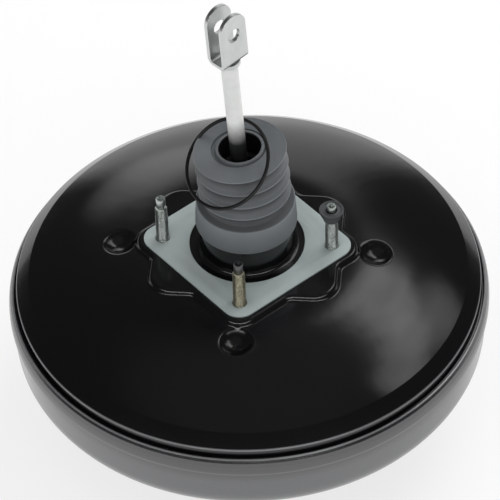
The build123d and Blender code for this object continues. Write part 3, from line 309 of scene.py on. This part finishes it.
# the boot's rubber gets painted highlights at its crests and painted shade under them, from the mesh's attribute
boot_rubber = make_moulding("grey_boot_rubber", (0.085, 0.092, 0.098), (0.115, 0.124, 0.131),
                            0.42, 0.56, 1500.0, 0.6)
black_rubber = make_moulding("black_seal_rubber", (0.003, 0.003, 0.0033), (0.007, 0.007, 0.008),
                             0.36, 0.5, 1600.0)
cap_plastic = make_moulding("dark_cap_plastic", (0.042, 0.045, 0.048), (0.07, 0.073, 0.077), 0.4, 0.55, 1400.0)
moulding = make_moulding("black_moulding", (0.02, 0.02, 0.022), (0.035, 0.035, 0.038))
nylon = make_moulding("natural_nylon", (0.62, 0.60, 0.54), (0.72, 0.70, 0.64))
filter_foam = make_felt("filter_foam", (0.006, 0.006, 0.006), (0.02, 0.02, 0.02))
felt = make_felt("silencer_felt", (0.008, 0.008, 0.008), (0.03, 0.03, 0.03))


# Modelling by hand

def deselect():
    if bpy.context.mode != "OBJECT":
        bpy.ops.object.mode_set(mode="OBJECT")
    bpy.ops.object.select_all(action="DESELECT")


def pick(obj):
    """Makes a piece the only selected one, and active."""
    deselect()
    obj.select_set(True)
    bpy.context.view_layer.objects.active = obj


def edit(obj, select="DESELECT"):
    """Opens a piece for editing with all or none of it selected."""
    pick(obj)
    bpy.ops.object.mode_set(mode="EDIT")
    bpy.ops.mesh.select_all(action=select)


def close_up(obj, merge=0.00001, angle=None):
    """Merges doubles, turns the faces outwards and shades the piece."""
    edit(obj, "SELECT")
    bpy.ops.mesh.remove_doubles(threshold=merge)
    bpy.ops.mesh.normals_make_consistent(inside=False)
    pick(obj)
    if angle is None:
        bpy.ops.object.shade_smooth()
    else:
        bpy.ops.object.shade_smooth_by_angle(angle=math.radians(angle))
    deselect()
    return obj


def finished(obj, name, material, body, slot, *replaced):
    """Names the piece, settles its place in its mesh and ties it to its body.

    A piece that already has materials keeps those after its first."""
    obj.name = name
    obj.data.name = name
    pick(obj)
    bpy.ops.object.transform_apply(location=True, rotation=True, scale=True)
    if obj.data.materials:
        obj.data.materials[0] = material
    else:
        obj.data.materials.append(material)
    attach(obj, body)
    if replaced:
        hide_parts(*replaced)
    deselect()
    return obj


def modified(obj, kind, **settings):
    """Adds one modifier and applies it."""
    pick(obj)
    modifier = obj.modifiers.new(kind.lower(), kind)
    for key, value in settings.items():
        setattr(modifier, key, value)
    bpy.ops.object.modifier_apply(modifier=modifier.name)
    return obj


def rounded(corners, steps=5):
    """A profile of (radius, height, rounding) corners, in mm, as plain points with arcs at the corners."""
    points = []
    for index, (x, z, rounding) in enumerate(corners):
        here = Vector((x, z))
        if not rounding:
            points.append(here)
            continue
        before = Vector(corners[index - 1][:2]) - here
        after = Vector(corners[(index + 1) % len(corners)][:2]) - here
        half = before.angle(after) / 2
        reach = min(rounding / math.tan(half), 0.49 * before.length, 0.49 * after.length)
        middle = (before.normalized() + after.normalized()).normalized()
        centre = here + middle * reach / math.cos(half)
        first = here + before.normalized() * reach - centre
        turn = first.angle_signed(here + after.normalized() * reach - centre)
        for step in range(steps + 1):
            points.append(centre + Matrix.Rotation(-turn * step / steps, 2) @ first)
    return [(p.x, p.y) for p in points]


def lathe(profile, rings=128, closed=True):
    """Turns a profile of (radius, height) points, in mm, by extruding and scaling one ring of points."""
    deselect()
    radius, height = profile[0]
    bpy.ops.mesh.primitive_circle_add(vertices=rings, radius=radius * MM, location=(0, 0, height * MM))
    obj = bpy.context.object
    bpy.ops.object.transform_apply(location=True)
    edit(obj, "SELECT")
    path = profile[1:] + ([profile[0]] if closed else [])
    for next_radius, next_height in path:
        rise = (next_height - height) * MM
        bpy.ops.mesh.extrude_region_move(TRANSFORM_OT_translate={"value": (0, 0, rise)})
        grow = next_radius / radius
        bpy.ops.transform.resize(value=(grow, grow, 1.0), center_override=(0, 0, next_height * MM))
        radius, height = next_radius, next_height
    deselect()
    return obj


def copied(node):
    """The CAD node's form as a new piece."""
    deselect()
    mesh = nodes[node].data.copy()
    obj = bpy.data.objects.new(node + "_form", mesh)
    bpy.context.scene.collection.objects.link(obj)
    return obj


def leaned(obj):
    """Leans a piece that was drawn upright on the ball's centre, as the input rod leans."""
    towards = math.radians(ROD_LEAN_TOWARDS)
    lean = (Matrix.Rotation(towards, 4, "Z") @ Matrix.Rotation(math.radians(ROD_LEAN), 4, "Y")
            @ Matrix.Rotation(-towards, 4, "Z"))
    obj.matrix_world = Matrix.Translation(BALL * MM) @ lean @ obj.matrix_world
    return obj


# Rear shell

def crown_height(radius):
    """Height of the bare crown, in mm."""
    reach = max(radius - FLAT_RADIUS, 0.0)
    return CROWN - CROWN_RADIUS + math.sqrt(CROWN_RADIUS**2 - reach**2)


def soft_low(a, b, width):
    """The lower of two heights, with a rounded meeting."""
    h = max(width - abs(a - b), 0.0) / width
    return min(a, b) - h * h * width / 4


def soft_high(a, b, width):
    """The higher of two heights, with a rounded meeting."""
    return -soft_low(-a, -b, width)


def rounded_square_distance(x, y, half_x, half_y, corner):
    """How far a point lies outside a rounded rectangle, negative inside."""
    dx = abs(x) - half_x + corner
    dy = abs(y) - half_y + corner
    outside = math.hypot(max(dx, 0.0), max(dy, 0.0))
    return outside + min(max(dx, dy), 0.0) - corner


FLANK = math.tan(math.radians(60.0))       # fall of the pad's side for each mm outwards
DIMPLE_OUT = 80.5
DIMPLE_PLACES = [Matrix.Rotation(math.radians(a), 2) @ Vector((DIMPLE_OUT, 0)) for a in range(45, 360, 90)]
DIMPLE_LIP = 10.2
DIMPLE_BOWL = 13.2                         # radius of the pressed hollow
PAD_HALF, PAD_CORNER = 51.2, 12.0          # the pad's square
LOBES_HALF_X, LOBES_HALF_Y, LOBES_CORNER = 57.0, 43.5, 14.0    # the rectangle turned 45 degrees on it
GRID_EDGE = 62.0                           # ring of the drawn grid that is laid on the pad's outline
GRID_START, GRID_END = 41.0, 92.0          # the rings between these follow the pad
CROWN_RINGS_END = 132.0


def pad_distance(x, y):
    """How far a point lies outside the eight-lobed pad."""
    square = rounded_square_distance(x, y, PAD_HALF, PAD_HALF, PAD_CORNER)
    turned_x, turned_y = (x - y) * math.sqrt(0.5), (x + y) * math.sqrt(0.5)
    lobes = rounded_square_distance(turned_x, turned_y, LOBES_HALF_X, LOBES_HALF_Y, LOBES_CORNER)
    return soft_low(square, lobes, 2.0)


def pressed_height(x, y):
    """Height of the pressed rear face: crown, pad under the gasket and four dimples."""
    height = crown_height(math.hypot(x, y))
    pad = soft_low(FACE, FACE - pad_distance(x, y) * FLANK, 1.9)
    height = soft_high(height, pad, 1.3)
    for place in DIMPLE_PLACES:
        away = math.hypot(x - place.x, y - place.y)
        if away < DIMPLE_BOWL - 0.5:
            depth = math.sqrt(DIMPLE_BOWL**2 - away**2) - math.sqrt(DIMPLE_BOWL**2 - DIMPLE_LIP**2)
            height = soft_low(height, crown_height(DIMPLE_OUT) - depth, 0.9)
    return height


def pad_edge(direction):
    """How far out the pad's outline lies in a direction."""
    near, far = 40.0, 80.0
    for _ in range(24):
        middle = (near + far) / 2
        outside = pad_distance(middle * direction.x, middle * direction.y) > 0.0
        near, far = (near, middle) if outside else (middle, far)
    return near


def follow_pad(radius, edge):
    """Moves a grid ring in or out, so that the rings run along the pad's outline."""
    marks = ((GRID_START, GRID_START), (GRID_EDGE - 4, edge - 4), (GRID_EDGE + 4, edge + 4),
             (GRID_END, GRID_END))
    for (low, to_low), (high, to_high) in zip(marks, marks[1:]):
        if low <= radius <= high:
            return to_low + (radius - low) / (high - low) * (to_high - to_low)
    return radius


def ring_radii(*stretches):
    """Radii from (end, step) stretches, starting where the cove of the neck ends."""
    radius = COVE_OUT
    radii = []
    for end, step in stretches:
        count = max(1, round((end - radius) / step))
        radii += [radius + (end - radius) * i / count for i in range(count)]
        radius = end
    return radii


def make_rear_shell():
    """Turned blank whose face is then pressed: neck, cove, crown with pad and dimples, shoulder."""
    inner = NECK_RADIUS - SHEET
    neck = rounded([(inner, NECK_TOP - 6, 0), (inner, NECK_TOP, 0.6), (NECK_RADIUS, NECK_TOP, 0.6),
                    (NECK_RADIUS, 6.0, 0)])
    cove = [(COVE_OUT - COVE_RADIUS * math.cos(a), FACE + COVE_RADIUS - COVE_RADIUS * math.sin(a))
            for a in (math.radians(d) for d in range(10, 90, 10))]
    face = [(r, FACE) for r in ring_radii((GRID_START, 2.2), (GRID_EDGE - 4, 2.1), (GRID_EDGE + 4, 0.36),
                                          (GRID_END, 0.65), (CROWN_RINGS_END, 3.3))]
    shoulder = rounded([(CROWN_RINGS_END, crown_height(CROWN_RINGS_END), 0), (CROWN_EDGE, crown_height(CROWN_EDGE), 3.0),
                        (REAR_RADIUS, RIM, 0.7), (REAR_RADIUS, LIP_TOP - SHEET, 0.6),
                        (148.0, LIP_TOP - SHEET, 0), (148.0, LIP_TOP - 3.2, 0)], 6)
    shell = lathe(neck + cove + face + shoulder, 640, closed=False)
    edges = {}
    for vertex in shell.data.vertices:
        flat = vertex.co.xy / MM
        radius = flat.length
        if 36.0 < radius < CROWN_RINGS_END - 0.1 and abs(vertex.co.z / MM - FACE) < 0.01:
            direction = flat.normalized()
            key = round(math.atan2(direction.y, direction.x), 4)
            if key not in edges:
                edges[key] = pad_edge(direction)
            moved = direction * follow_pad(radius, edges[key])
            vertex.co = Vector((moved.x, moved.y, pressed_height(moved.x, moved.y))) * MM
    shell.data.update()
    close_up(shell)
    return finished(shell, "rear_shell_pressing", gloss_black, "shell", "black_paint", "rear_shell")


# Front shell

def make_front_shell():
    """Folded lip, bulged flange, crease, wall, flat ring and hub, with its three holes."""
    profile = rounded([
        (146.5, -38.4, 0), (146.5, LIP_TOP - 0.3, 0.2), (146.9, LIP_TOP, 0.3), (147.7, LIP_TOP - 0.15, 0.7),
        (149.0, -37.9, 2.2), (149.75, -41.0, 5.0), (150.0, -44.0, 5.0), (150.0, -46.2, 0.35),
        (148.9, -47.3, 0.5), (148.5, CREASE, 1.0), (146.8, ANNULUS, 27.0), (98.0, ANNULUS, 9.0), (66.0, HUB_FACE, 9.0),
        (30.0, HUB_FACE, 1.2), (30.0, HUB_FACE + 10, 0.4), (31.5, HUB_FACE + 10, 0.4),
        (31.5, HUB_FACE + SHEET, 0),
        (64.6, HUB_FACE + SHEET, 8.0), (96.6, ANNULUS + SHEET, 8.0), (145.3, ANNULUS + SHEET, 25.5),
        (146.9, -50.0, 0), (146.9, -40.0, 0),
    ], 8)
    shell = lathe(profile, 320)
    close_up(shell)
    for side in (-1, 1):
        bored(shell, 5.0, side * MASTER_STUD_SPACING / 2, 0.0, HUB_FACE - 4, HUB_FACE + 4)
    bored(shell, 9.0, 0.0, VALVE_OUT, ANNULUS - 4, ANNULUS + 4)
    close_up(shell, angle=40)
    return finished(shell, "front_shell_pressing", satin_black, "shell", "satin_black", "front_shell")


def bored(obj, radius, x, y, low, high, facets=64):
    """Cuts a round hole through a piece."""
    deselect()
    bpy.ops.mesh.primitive_cylinder_add(vertices=facets, radius=radius * MM, depth=(high - low) * MM,
                                        location=(x * MM, y * MM, (high + low) / 2 * MM))
    drill = bpy.context.object
    modified(obj, "BOOLEAN", operation="DIFFERENCE", object=drill, solver="EXACT")
    bpy.data.objects.remove(drill)
    return obj


# Gasket

GASKET_WIDTH = 97.0
GASKET_CORNER = 11.0
GASKET_THICK = 1.2
GASKET_HOLE = 35.6          # radius round the neck


def make_gasket_piece():
    """Square sheet with rounded corners, a large hole and four stud holes."""
    deselect()
    bpy.ops.mesh.primitive_cube_add(size=1.0, location=(0, 0, -GASKET_THICK / 2 * MM),
                                    scale=(GASKET_WIDTH * MM, GASKET_WIDTH * MM, GASKET_THICK * MM))
    sheet = bpy.context.object
    bpy.ops.object.transform_apply(location=True, rotation=False, scale=True)
    edit(sheet)
    bpy.ops.mesh.select_mode(type="EDGE")
    bpy.ops.object.mode_set(mode="OBJECT")
    for edge in sheet.data.edges:
        a, b = (sheet.data.vertices[i].co for i in edge.vertices)
        edge.select = abs(a.z - b.z) > 0.5 * MM
    bpy.ops.object.mode_set(mode="EDIT")
    bpy.ops.mesh.bevel(offset=GASKET_CORNER * MM, segments=14, affect="EDGES")
    bpy.ops.mesh.select_mode(type="VERT")
    deselect()
    bored(sheet, GASKET_HOLE, 0, 0, -4, 4, 128)
    half = STUD_SPACING / 2
    for x in (-half, half):
        for y in (-half, half):
            bored(sheet, 4.5, x, y, -4, 4)
    modified(sheet, "BEVEL", width=0.22 * MM, segments=2, limit_method="ANGLE", angle_limit=math.radians(50))
    close_up(sheet, angle=50)
    return finished(sheet, "gasket_sheet", gasket_fibre, "shell", "gasket", "mounting_gasket")


# Dust boot

BOOT_BEND_FROM = 37.0
BOOT_SKIRT_TOP = 37.2
BOOT_CRESTS = (78.2, 67.2, 56.5, 46.8)
BOOT_VALLEYS = (26.4, 26.4, 26.3, 25.8)    # radius of the hollow under each crest
BOOT_TOP = BOOT_CRESTS[0]
BORE_FROM = 61.0            # height above which the mouth's bore is drawn


def bend_with_rod(obj, shift=2.6, tilt=4.5):
    """Leans the boot's upper folds with the rod: the top moves sideways and its low side sinks."""
    towards = math.radians(ROD_LEAN_TOWARDS)
    side = Vector((math.cos(towards), math.sin(towards), 0.0))
    for vertex in obj.data.vertices:
        share = (vertex.co.z / MM - BOOT_BEND_FROM) / (BOOT_TOP - BOOT_BEND_FROM)
        if share > 0.0:
            along = vertex.co.dot(side)
            vertex.co += side * shift * MM * min(share, 1.0) ** 1.5
            vertex.co.z -= along * math.sin(math.radians(tilt)) * min(share, 1.0)
    obj.data.update()
    return obj


def make_boot():
    """Four shingled folds over a skirt, and a mouth whose bead sits askew in its groove."""
    outline = [(12.6, 62.0, 0), (12.6, 77.0, 0.6), (13.3, 78.0, 0.7), (14.9, 77.9, 0.6), (15.3, 75.6, 0.3),
               (16.5, 75.6, 0.3), (16.8, 77.4, 0.3), (27.2, 78.2, 0.5), (28.2, 78.5, 0.25)]
    for crest, below, valley in zip(BOOT_CRESTS, (*BOOT_CRESTS[1:], BOOT_SKIRT_TOP), BOOT_VALLEYS):
        outline += [(28.4, crest - 0.5, 0.2), (valley + 0.2, crest - 1.5, 0.3), (valley, crest - 4.2, 1.5),
                    (valley + 0.6, below + 2.4, 1.5), (28.1, below + 0.6, 0.25)]
    outline[-1] = (29.4, 38.0, 0.4)
    outline += [(30.4, 37.3, 0.3), (31.3, 20.6, 0.4), (31.0, 20.0, 0.3), (28.9, 20.0, 0.3), (28.9, 34.2, 0.6),
                (25.0, 36.5, 1.0), (24.6, 74.6, 1.0), (14.2, 74.6, 1.0), (14.2, 62.0, 0.3)]
    boot = lathe(rounded(outline, 3), 160)
    close_up(boot, angle=60)
    paint_boot_highlight_shade(boot)
    mouth = Vector((1.5, 2.7, 0.0)) * MM
    for vertex in boot.data.vertices:
        radius = vertex.co.xy.length / MM
        if vertex.co.z > BORE_FROM * MM and radius < 26.0:
            vertex.co += mouth * min(1.0, (26.0 - radius) / 9.0)
            if radius < 15.6:
                vertex.co += Vector((0.8, -0.6, 0.0)) * 0.7 * MM
    bend_with_rod(boot)
    boot.data.update()
    finished(boot, "dust_boot_rubber", boot_rubber, "shell", "boot_rubber", "dust_boot")
    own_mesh(boot)
    return boot


def paint_boot_highlight_shade(boot):
    """Marks painted highlights on the crests' edges and the skirt's top edge, painted shade under the crests and over
    the lowest fold, a slightly paler skirt, and makes the bore black as painted shade inside the mouth.
    """
    painted_highlight_shade = boot.data.attributes.new("painted_highlight_shade", "FLOAT", "POINT")
    for index, vertex in enumerate(boot.data.vertices):
        radius, z = vertex.co.xy.length / MM, vertex.co.z / MM
        # painted highlights on the skirt's top edge and the crests, painted shade over the lowest fold and under the
        # crests
        share = 0.05 if z < 37.0 else 0.0
        if radius > 29.8 and 37.0 <= z < 37.5:
            share = 0.45
        elif radius > 24.0 and 37.5 <= z < 45.6:
            share = -0.7
        elif radius > 28.2 and any(-0.75 < z - crest < 0.4 for crest in BOOT_CRESTS):
            share = 0.5
        elif 25.0 < radius < 28.2 and any(1.2 < crest - z < 5.0 for crest in BOOT_CRESTS):
            share = -0.6
        painted_highlight_shade.data[index].value = share
    boot.data.materials.append(boot_rubber)
    boot.data.materials.append(black_rubber)
    # the bore's faces get the black rubber as painted shade inside the mouth
    for face in boot.data.polygons:
        corners = [boot.data.vertices[i].co for i in face.vertices]
        if all(c.z > BORE_FROM * MM and c.xy.length < 13.2 * MM for c in corners):
            face.material_index = 1


# Loose ring

RING_RADIUS = 28.3
RING_WIRE_RADIUS = 1.12
RING_CENTRE = Vector((-13.1, -0.1, 75.6))
RING_TILT = 38.6            # degrees


def make_seal_ring():
    """The ring that seals the master cylinder, lying loose against the boot."""
    deselect()
    bpy.ops.mesh.primitive_torus_add(major_radius=RING_RADIUS * MM, minor_radius=RING_WIRE_RADIUS * MM,
                                     major_segments=192, minor_segments=20)
    ring = bpy.context.object
    tilt = Matrix.Rotation(math.radians(180.0), 4, "Z") @ Matrix.Rotation(math.radians(RING_TILT), 4, "Y")
    ring.matrix_world = Matrix.Translation(RING_CENTRE * MM) @ tilt
    close_up(ring)
    return finished(ring, "loose_seal_ring", black_rubber, "ring", "black_rubber", "seal_ring")


# Studs

THREAD_END = 25.4
THREAD_PITCH = 1.25


def make_stud():
    """One bulkhead stud with its rolled thread, standing at the origin."""
    profile = [(4.3, -4.0), (4.3, 0.15), (4.12, 0.4), (3.7, 0.45)]
    z = 0.9
    while z < THREAD_END:
        crest = 3.98 if z < 18.4 else 3.74
        profile += [(crest - 0.42, z), (crest, z + 0.42), (crest, z + 0.6), (crest - 0.42, z + 1.02)]
        z += THREAD_PITCH
    # the dog point with its undercut and its countersunk end
    profile += [(3.3, z + 0.1), (2.9, 26.8), (2.35, 26.9), (2.35, 28.0), (2.85, 28.3), (2.9, 33.5),
                (2.6, 33.98), (2.0, 33.98), (1.7, 33.2), (0.9, 31.2), (0.3, 30.6)]
    stud = lathe(profile, 40, closed=False)
    close_up(stud, angle=35)
    return stud


def make_studs():
    """Four studs, of which the first has the yellow plating and stands for the CAD's node."""
    pattern = make_stud()
    half = STUD_SPACING / 2
    places = [(x, y) for x in (-half, half) for y in (-half, half)]
    for index, (x, y) in enumerate(places):
        stud = pattern.copy()
        stud.data = pattern.data.copy()
        bpy.context.scene.collection.objects.link(stud)
        stud.location = (x * MM, y * MM, 0)
        material, replaced = (yellow_steel, ["bulkhead_studs"]) if index == 0 else (stud_steel, [])
        finished(stud, f"bulkhead_stud_{index + 1}", material, "shell", "stud_steel", *replaced)
    bpy.data.objects.remove(pattern)


def make_cap():
    """Push-on cap: a tapering cup, nearly closed round the stud's tip."""
    half = STUD_SPACING / 2
    cap = lathe(rounded([(4.15, 22.6, 0), (4.3, 22.0, 0.2), (4.9, 22.4, 0.4), (5.9, 25.2, 3.0),
                         (7.3, 28.4, 1.5), (7.5, 29.6, 0.5), (7.5, 30.8, 0.35), (6.9, 30.8, 0.3),
                         (5.6, 29.9, 1.0), (3.6, 30.3, 0.5), (3.3, 29.6, 0.3), (3.3, 27.3, 0),
                         (4.1, 27.3, 0)], 4), 64)
    cap.location = (half * MM, -half * MM, 0)
    close_up(cap, angle=40)
    return finished(cap, "stud_push_cap", cap_plastic, "cap", "cap_plastic", "stud_cap")


# Input rod and clevis

def make_rod():
    """The rod's shank, drawn over the CAD's rod, which stays with its ball."""
    rod = lathe(rounded([(3.4, 9.0, 0), (3.4, 10.0, 0), (5.1, 13.0, 0.6), (5.1, 136.8, 0.3),
                         (4.7, 137.3, 0), (4.7, 139.0, 0)], 3), 64, closed=False)
    close_up(rod, angle=40)
    leaned(rod)
    return finished(rod, "input_rod_shank", rod_finish, "rod", "zinc")


def make_clevis():
    """The CAD's clevis with its edges broken."""
    clevis = copied("clevis")
    close_up(clevis, merge=0.00002, angle=30)
    modified(clevis, "BEVEL", width=0.35 * MM, segments=2, limit_method="ANGLE", angle_limit=math.radians(50))
    close_up(clevis, angle=40)
    return finished(clevis, "clevis_fork", zinc, "rod", "zinc", "clevis")


make_rear_shell()
make_front_shell()
make_gasket_piece()
make_boot()
make_seal_ring()
make_studs()
make_cap()
make_rod()
make_clevis()

# Finishes of the CAD nodes that stay
node_finish = {
    "rear_reinforcement_plate": steel, "front_reinforcement_plate": steel,
    "master_cylinder_studs": stud_steel, "seal_retainer": nylon, "guide_bush": nylon,
    "neck_seal": black_rubber, "valve_body": moulding, "stop_key": steel,
    "reaction_disc": black_rubber, "output_rod": zinc, "output_rod_retainer": steel,
    "diaphragm_plate": steel, "diaphragm": black_rubber, "return_spring": spring_steel,
    "valve_plunger": zinc, "poppet_valve": black_rubber, "poppet_retainer": steel,
    "poppet_spring": spring_steel, "rod_return_spring": spring_steel, "spring_cup": steel,
    "air_filter": filter_foam, "silencer": felt, "input_rod": rod_finish, "clevis_collar": zinc,
    "check_valve_grommet": black_rubber, "check_valve_body": moulding,
    "check_valve_poppet": black_rubber, "check_valve_spring": spring_steel,
}
for name, material in node_finish.items():
    nodes[name].data.materials.clear()
    nodes[name].data.materials.append(material)


# Floor, light and camera

CAMERA_TURN = -38.52        # degrees
BEHIND = math.radians(90.0 + CAMERA_TURN)  # direction away from the camera, from +X
FLOOR = -140.0              # mm, just under the lowest stud


def studio_direction(azimuth, elevation):
    """Unit vector by angles as seen from the camera: azimuth 0 is away from it, 90 to its right."""
    a = BEHIND - math.radians(azimuth)
    e = math.radians(elevation)
    return Vector((math.cos(a) * math.cos(e), math.sin(a) * math.cos(e), math.sin(e)))


def make_floor():
    """White floor that the camera and gloss see as white, with the object's soft shadow."""
    deselect()
    bpy.ops.mesh.primitive_plane_add(size=12.0, location=(0, 0, FLOOR * MM))
    floor = bpy.context.object
    floor.name = "floor"
    f = Finish("white_floor", (0.85, 0.85, 0.85), 0.9)
    f.set("Roughness", f.between(f.grain(30.0), 0.3, 0.7, 0.85, 0.95))
    seen = (f.node("ShaderNodeLightPath", output="Is Camera Ray") * 0.72
            + f.node("ShaderNodeLightPath", output="Is Glossy Ray"))
    white = f.node("ShaderNodeEmission", None, {"Color": (1.0, 1.0, 1.0), "Strength": 1.0})
    lit = Value(f, f.shader.outputs[0])
    mix = f.node("ShaderNodeMixShader", None, {0: seen, 1: lit, 2: white})
    f.tree.links.new(mix.socket, f.tree.nodes["Material Output"].inputs["Surface"])
    floor.data.materials.append(f.material)
    return floor


def make_world():
    """White to the camera, even to matt surfaces, and to gloss a dark room with a white sweep and soft boxes."""
    world = bpy.data.worlds.new("studio")
    bpy.context.scene.world = world
    world.use_nodes = True
    w = Nodes(world.node_tree)
    way = w.node("ShaderNodeTexCoord", output="Generated")

    def towards(direction):
        return w.node("ShaderNodeVectorMath", {"operation": "DOT_PRODUCT"}, {0: way, 1: direction}, "Value")

    def box(azimuth, elevation, reach, soft, strength):
        """A round soft light: its reach and soft edge are angles."""
        edge, core = (math.cos(math.radians(reach + soft * side)) for side in (1, -1))
        return w.between(towards(studio_direction(azimuth, elevation)), edge, core, 0.0, strength, "SMOOTHSTEP")

    def brighter(first, second):
        return first.maths("MAXIMUM", second)

    up = towards((0, 0, 1))
    away, right = towards(studio_direction(0, 0)), towards(studio_direction(90, 0))
    # the white sweep behind, narrower towards its top
    inside = 0.4 - up * 0.31 - abs(right / brighter(away, 0.05))
    sweep = w.between(inside, -0.05, 0.13, 0.0, 0.85, "SMOOTHSTEP")
    sweep = sweep * w.between(up, 0.58, 0.68, 1.0, 0.0, "SMOOTHSTEP")
    glow = sweep + box(-10, 24, 8, 6, 0.8)
    # the row of soft boxes to the right
    row = box(20, 50.5, 5.5, 2, 2.5)
    for further in ((32, 51.5, 7, 2.5, 2.4), (45, 52.5, 7.5, 2.5, 2.3), (60, 52.5, 8, 3, 2.0),
                    (78, 54, 7, 3.5, 1.6), (55, 43, 9, 4, 1.2)):
        row = brighter(row, box(*further))
    patchy = w.between(w.noise(way, 7.0, 3.0, 0.55), 0.32, 0.68, 0.62, 1.25)
    # the strip light above the camera, and the paler ceiling
    strip = w.between(up, 0.44, 0.48, 0.0, 1.0, "SMOOTHSTEP")
    strip = strip * w.between(up, 0.53, 0.57, 1.0, 0.0, "SMOOTHSTEP")
    strip = strip * w.between(away, -0.7, -0.35, 6.0, 0.0, "SMOOTHSTEP")
    ceiling = w.between(up, 0.8, 0.97, 0.055, 0.14, "SMOOTHSTEP")
    mirrored = glow + row * patchy + strip + ceiling
    diffuse = w.node("ShaderNodeLightPath", output="Is Diffuse Ray")
    camera = w.node("ShaderNodeLightPath", output="Is Camera Ray")
    even = w.node("ShaderNodeMix", None, {0: diffuse, 2: mirrored, 3: 0.62})
    seen = w.node("ShaderNodeMix", None, {0: camera, 2: even, 3: 1.0})
    background = w.tree.nodes["Background"]
    w.feed(background.inputs["Color"], (1.0, 1.0, 1.0))
    w.feed(background.inputs["Strength"], seen)


def make_lamp(name, azimuth, elevation, distance, size, radiance):
    """A soft box that faces the object; gloss sees the world's boxes in its place."""
    data = bpy.data.lights.new(name, "AREA")
    data.shape = "RECTANGLE"
    data.size, data.size_y = size
    data.energy = radiance * math.pi * size[0] * size[1]
    lamp = bpy.data.objects.new(name, data)
    bpy.context.scene.collection.objects.link(lamp)
    lamp.location = studio_direction(azimuth, elevation) * distance
    lamp.rotation_euler = (-lamp.location).to_track_quat("-Z", "Y").to_euler()
    lamp.visible_glossy = False
    return lamp


PHOTO_SIZE = 500.0          # px
FOCAL_LENGTH = 3649.5       # px
PHOTO_CENTRE = (247.15, 240.9)      # px, where the lens's axis meets the photograph
SENSOR = 36.0               # mm


def make_camera():
    """The photograph's view, fitted from its rims and studs."""
    elevation, roll, distance = math.radians(45.6), math.radians(-2.17), 2.25
    turn = math.radians(CAMERA_TURN)
    back = Vector((0, -math.cos(elevation), math.sin(elevation)))
    level, upright = Vector((1, 0, 0)), Vector((0, math.sin(elevation), math.cos(elevation)))
    right = math.cos(roll) * level + math.sin(roll) * upright
    up = -math.sin(roll) * level + math.cos(roll) * upright
    axes = Matrix((right, up, back)).transposed().to_4x4()
    data = bpy.data.cameras.new("photo_camera")
    camera = bpy.data.objects.new("photo_camera", data)
    bpy.context.scene.collection.objects.link(camera)
    camera.matrix_world = Matrix.Rotation(turn, 4, "Z") @ Matrix.Translation(back * distance) @ axes
    data.sensor_width = SENSOR
    data.lens = FOCAL_LENGTH / PHOTO_SIZE * SENSOR
    data.shift_x = (PHOTO_SIZE / 2 - PHOTO_CENTRE[0]) / PHOTO_SIZE
    data.shift_y = (PHOTO_CENTRE[1] - PHOTO_SIZE / 2) / PHOTO_SIZE
    data.clip_end = 20.0
    bpy.context.scene.camera = camera


make_floor()
make_world()
make_lamp("window_box", 40.0, 50.0, 1.8, (1.3, 0.8), 5.0)
make_lamp("top_box", -150.0, 62.0, 1.8, (1.0, 1.0), 1.0)
make_camera()

bpy.context.scene.view_settings.view_transform = "Standard"
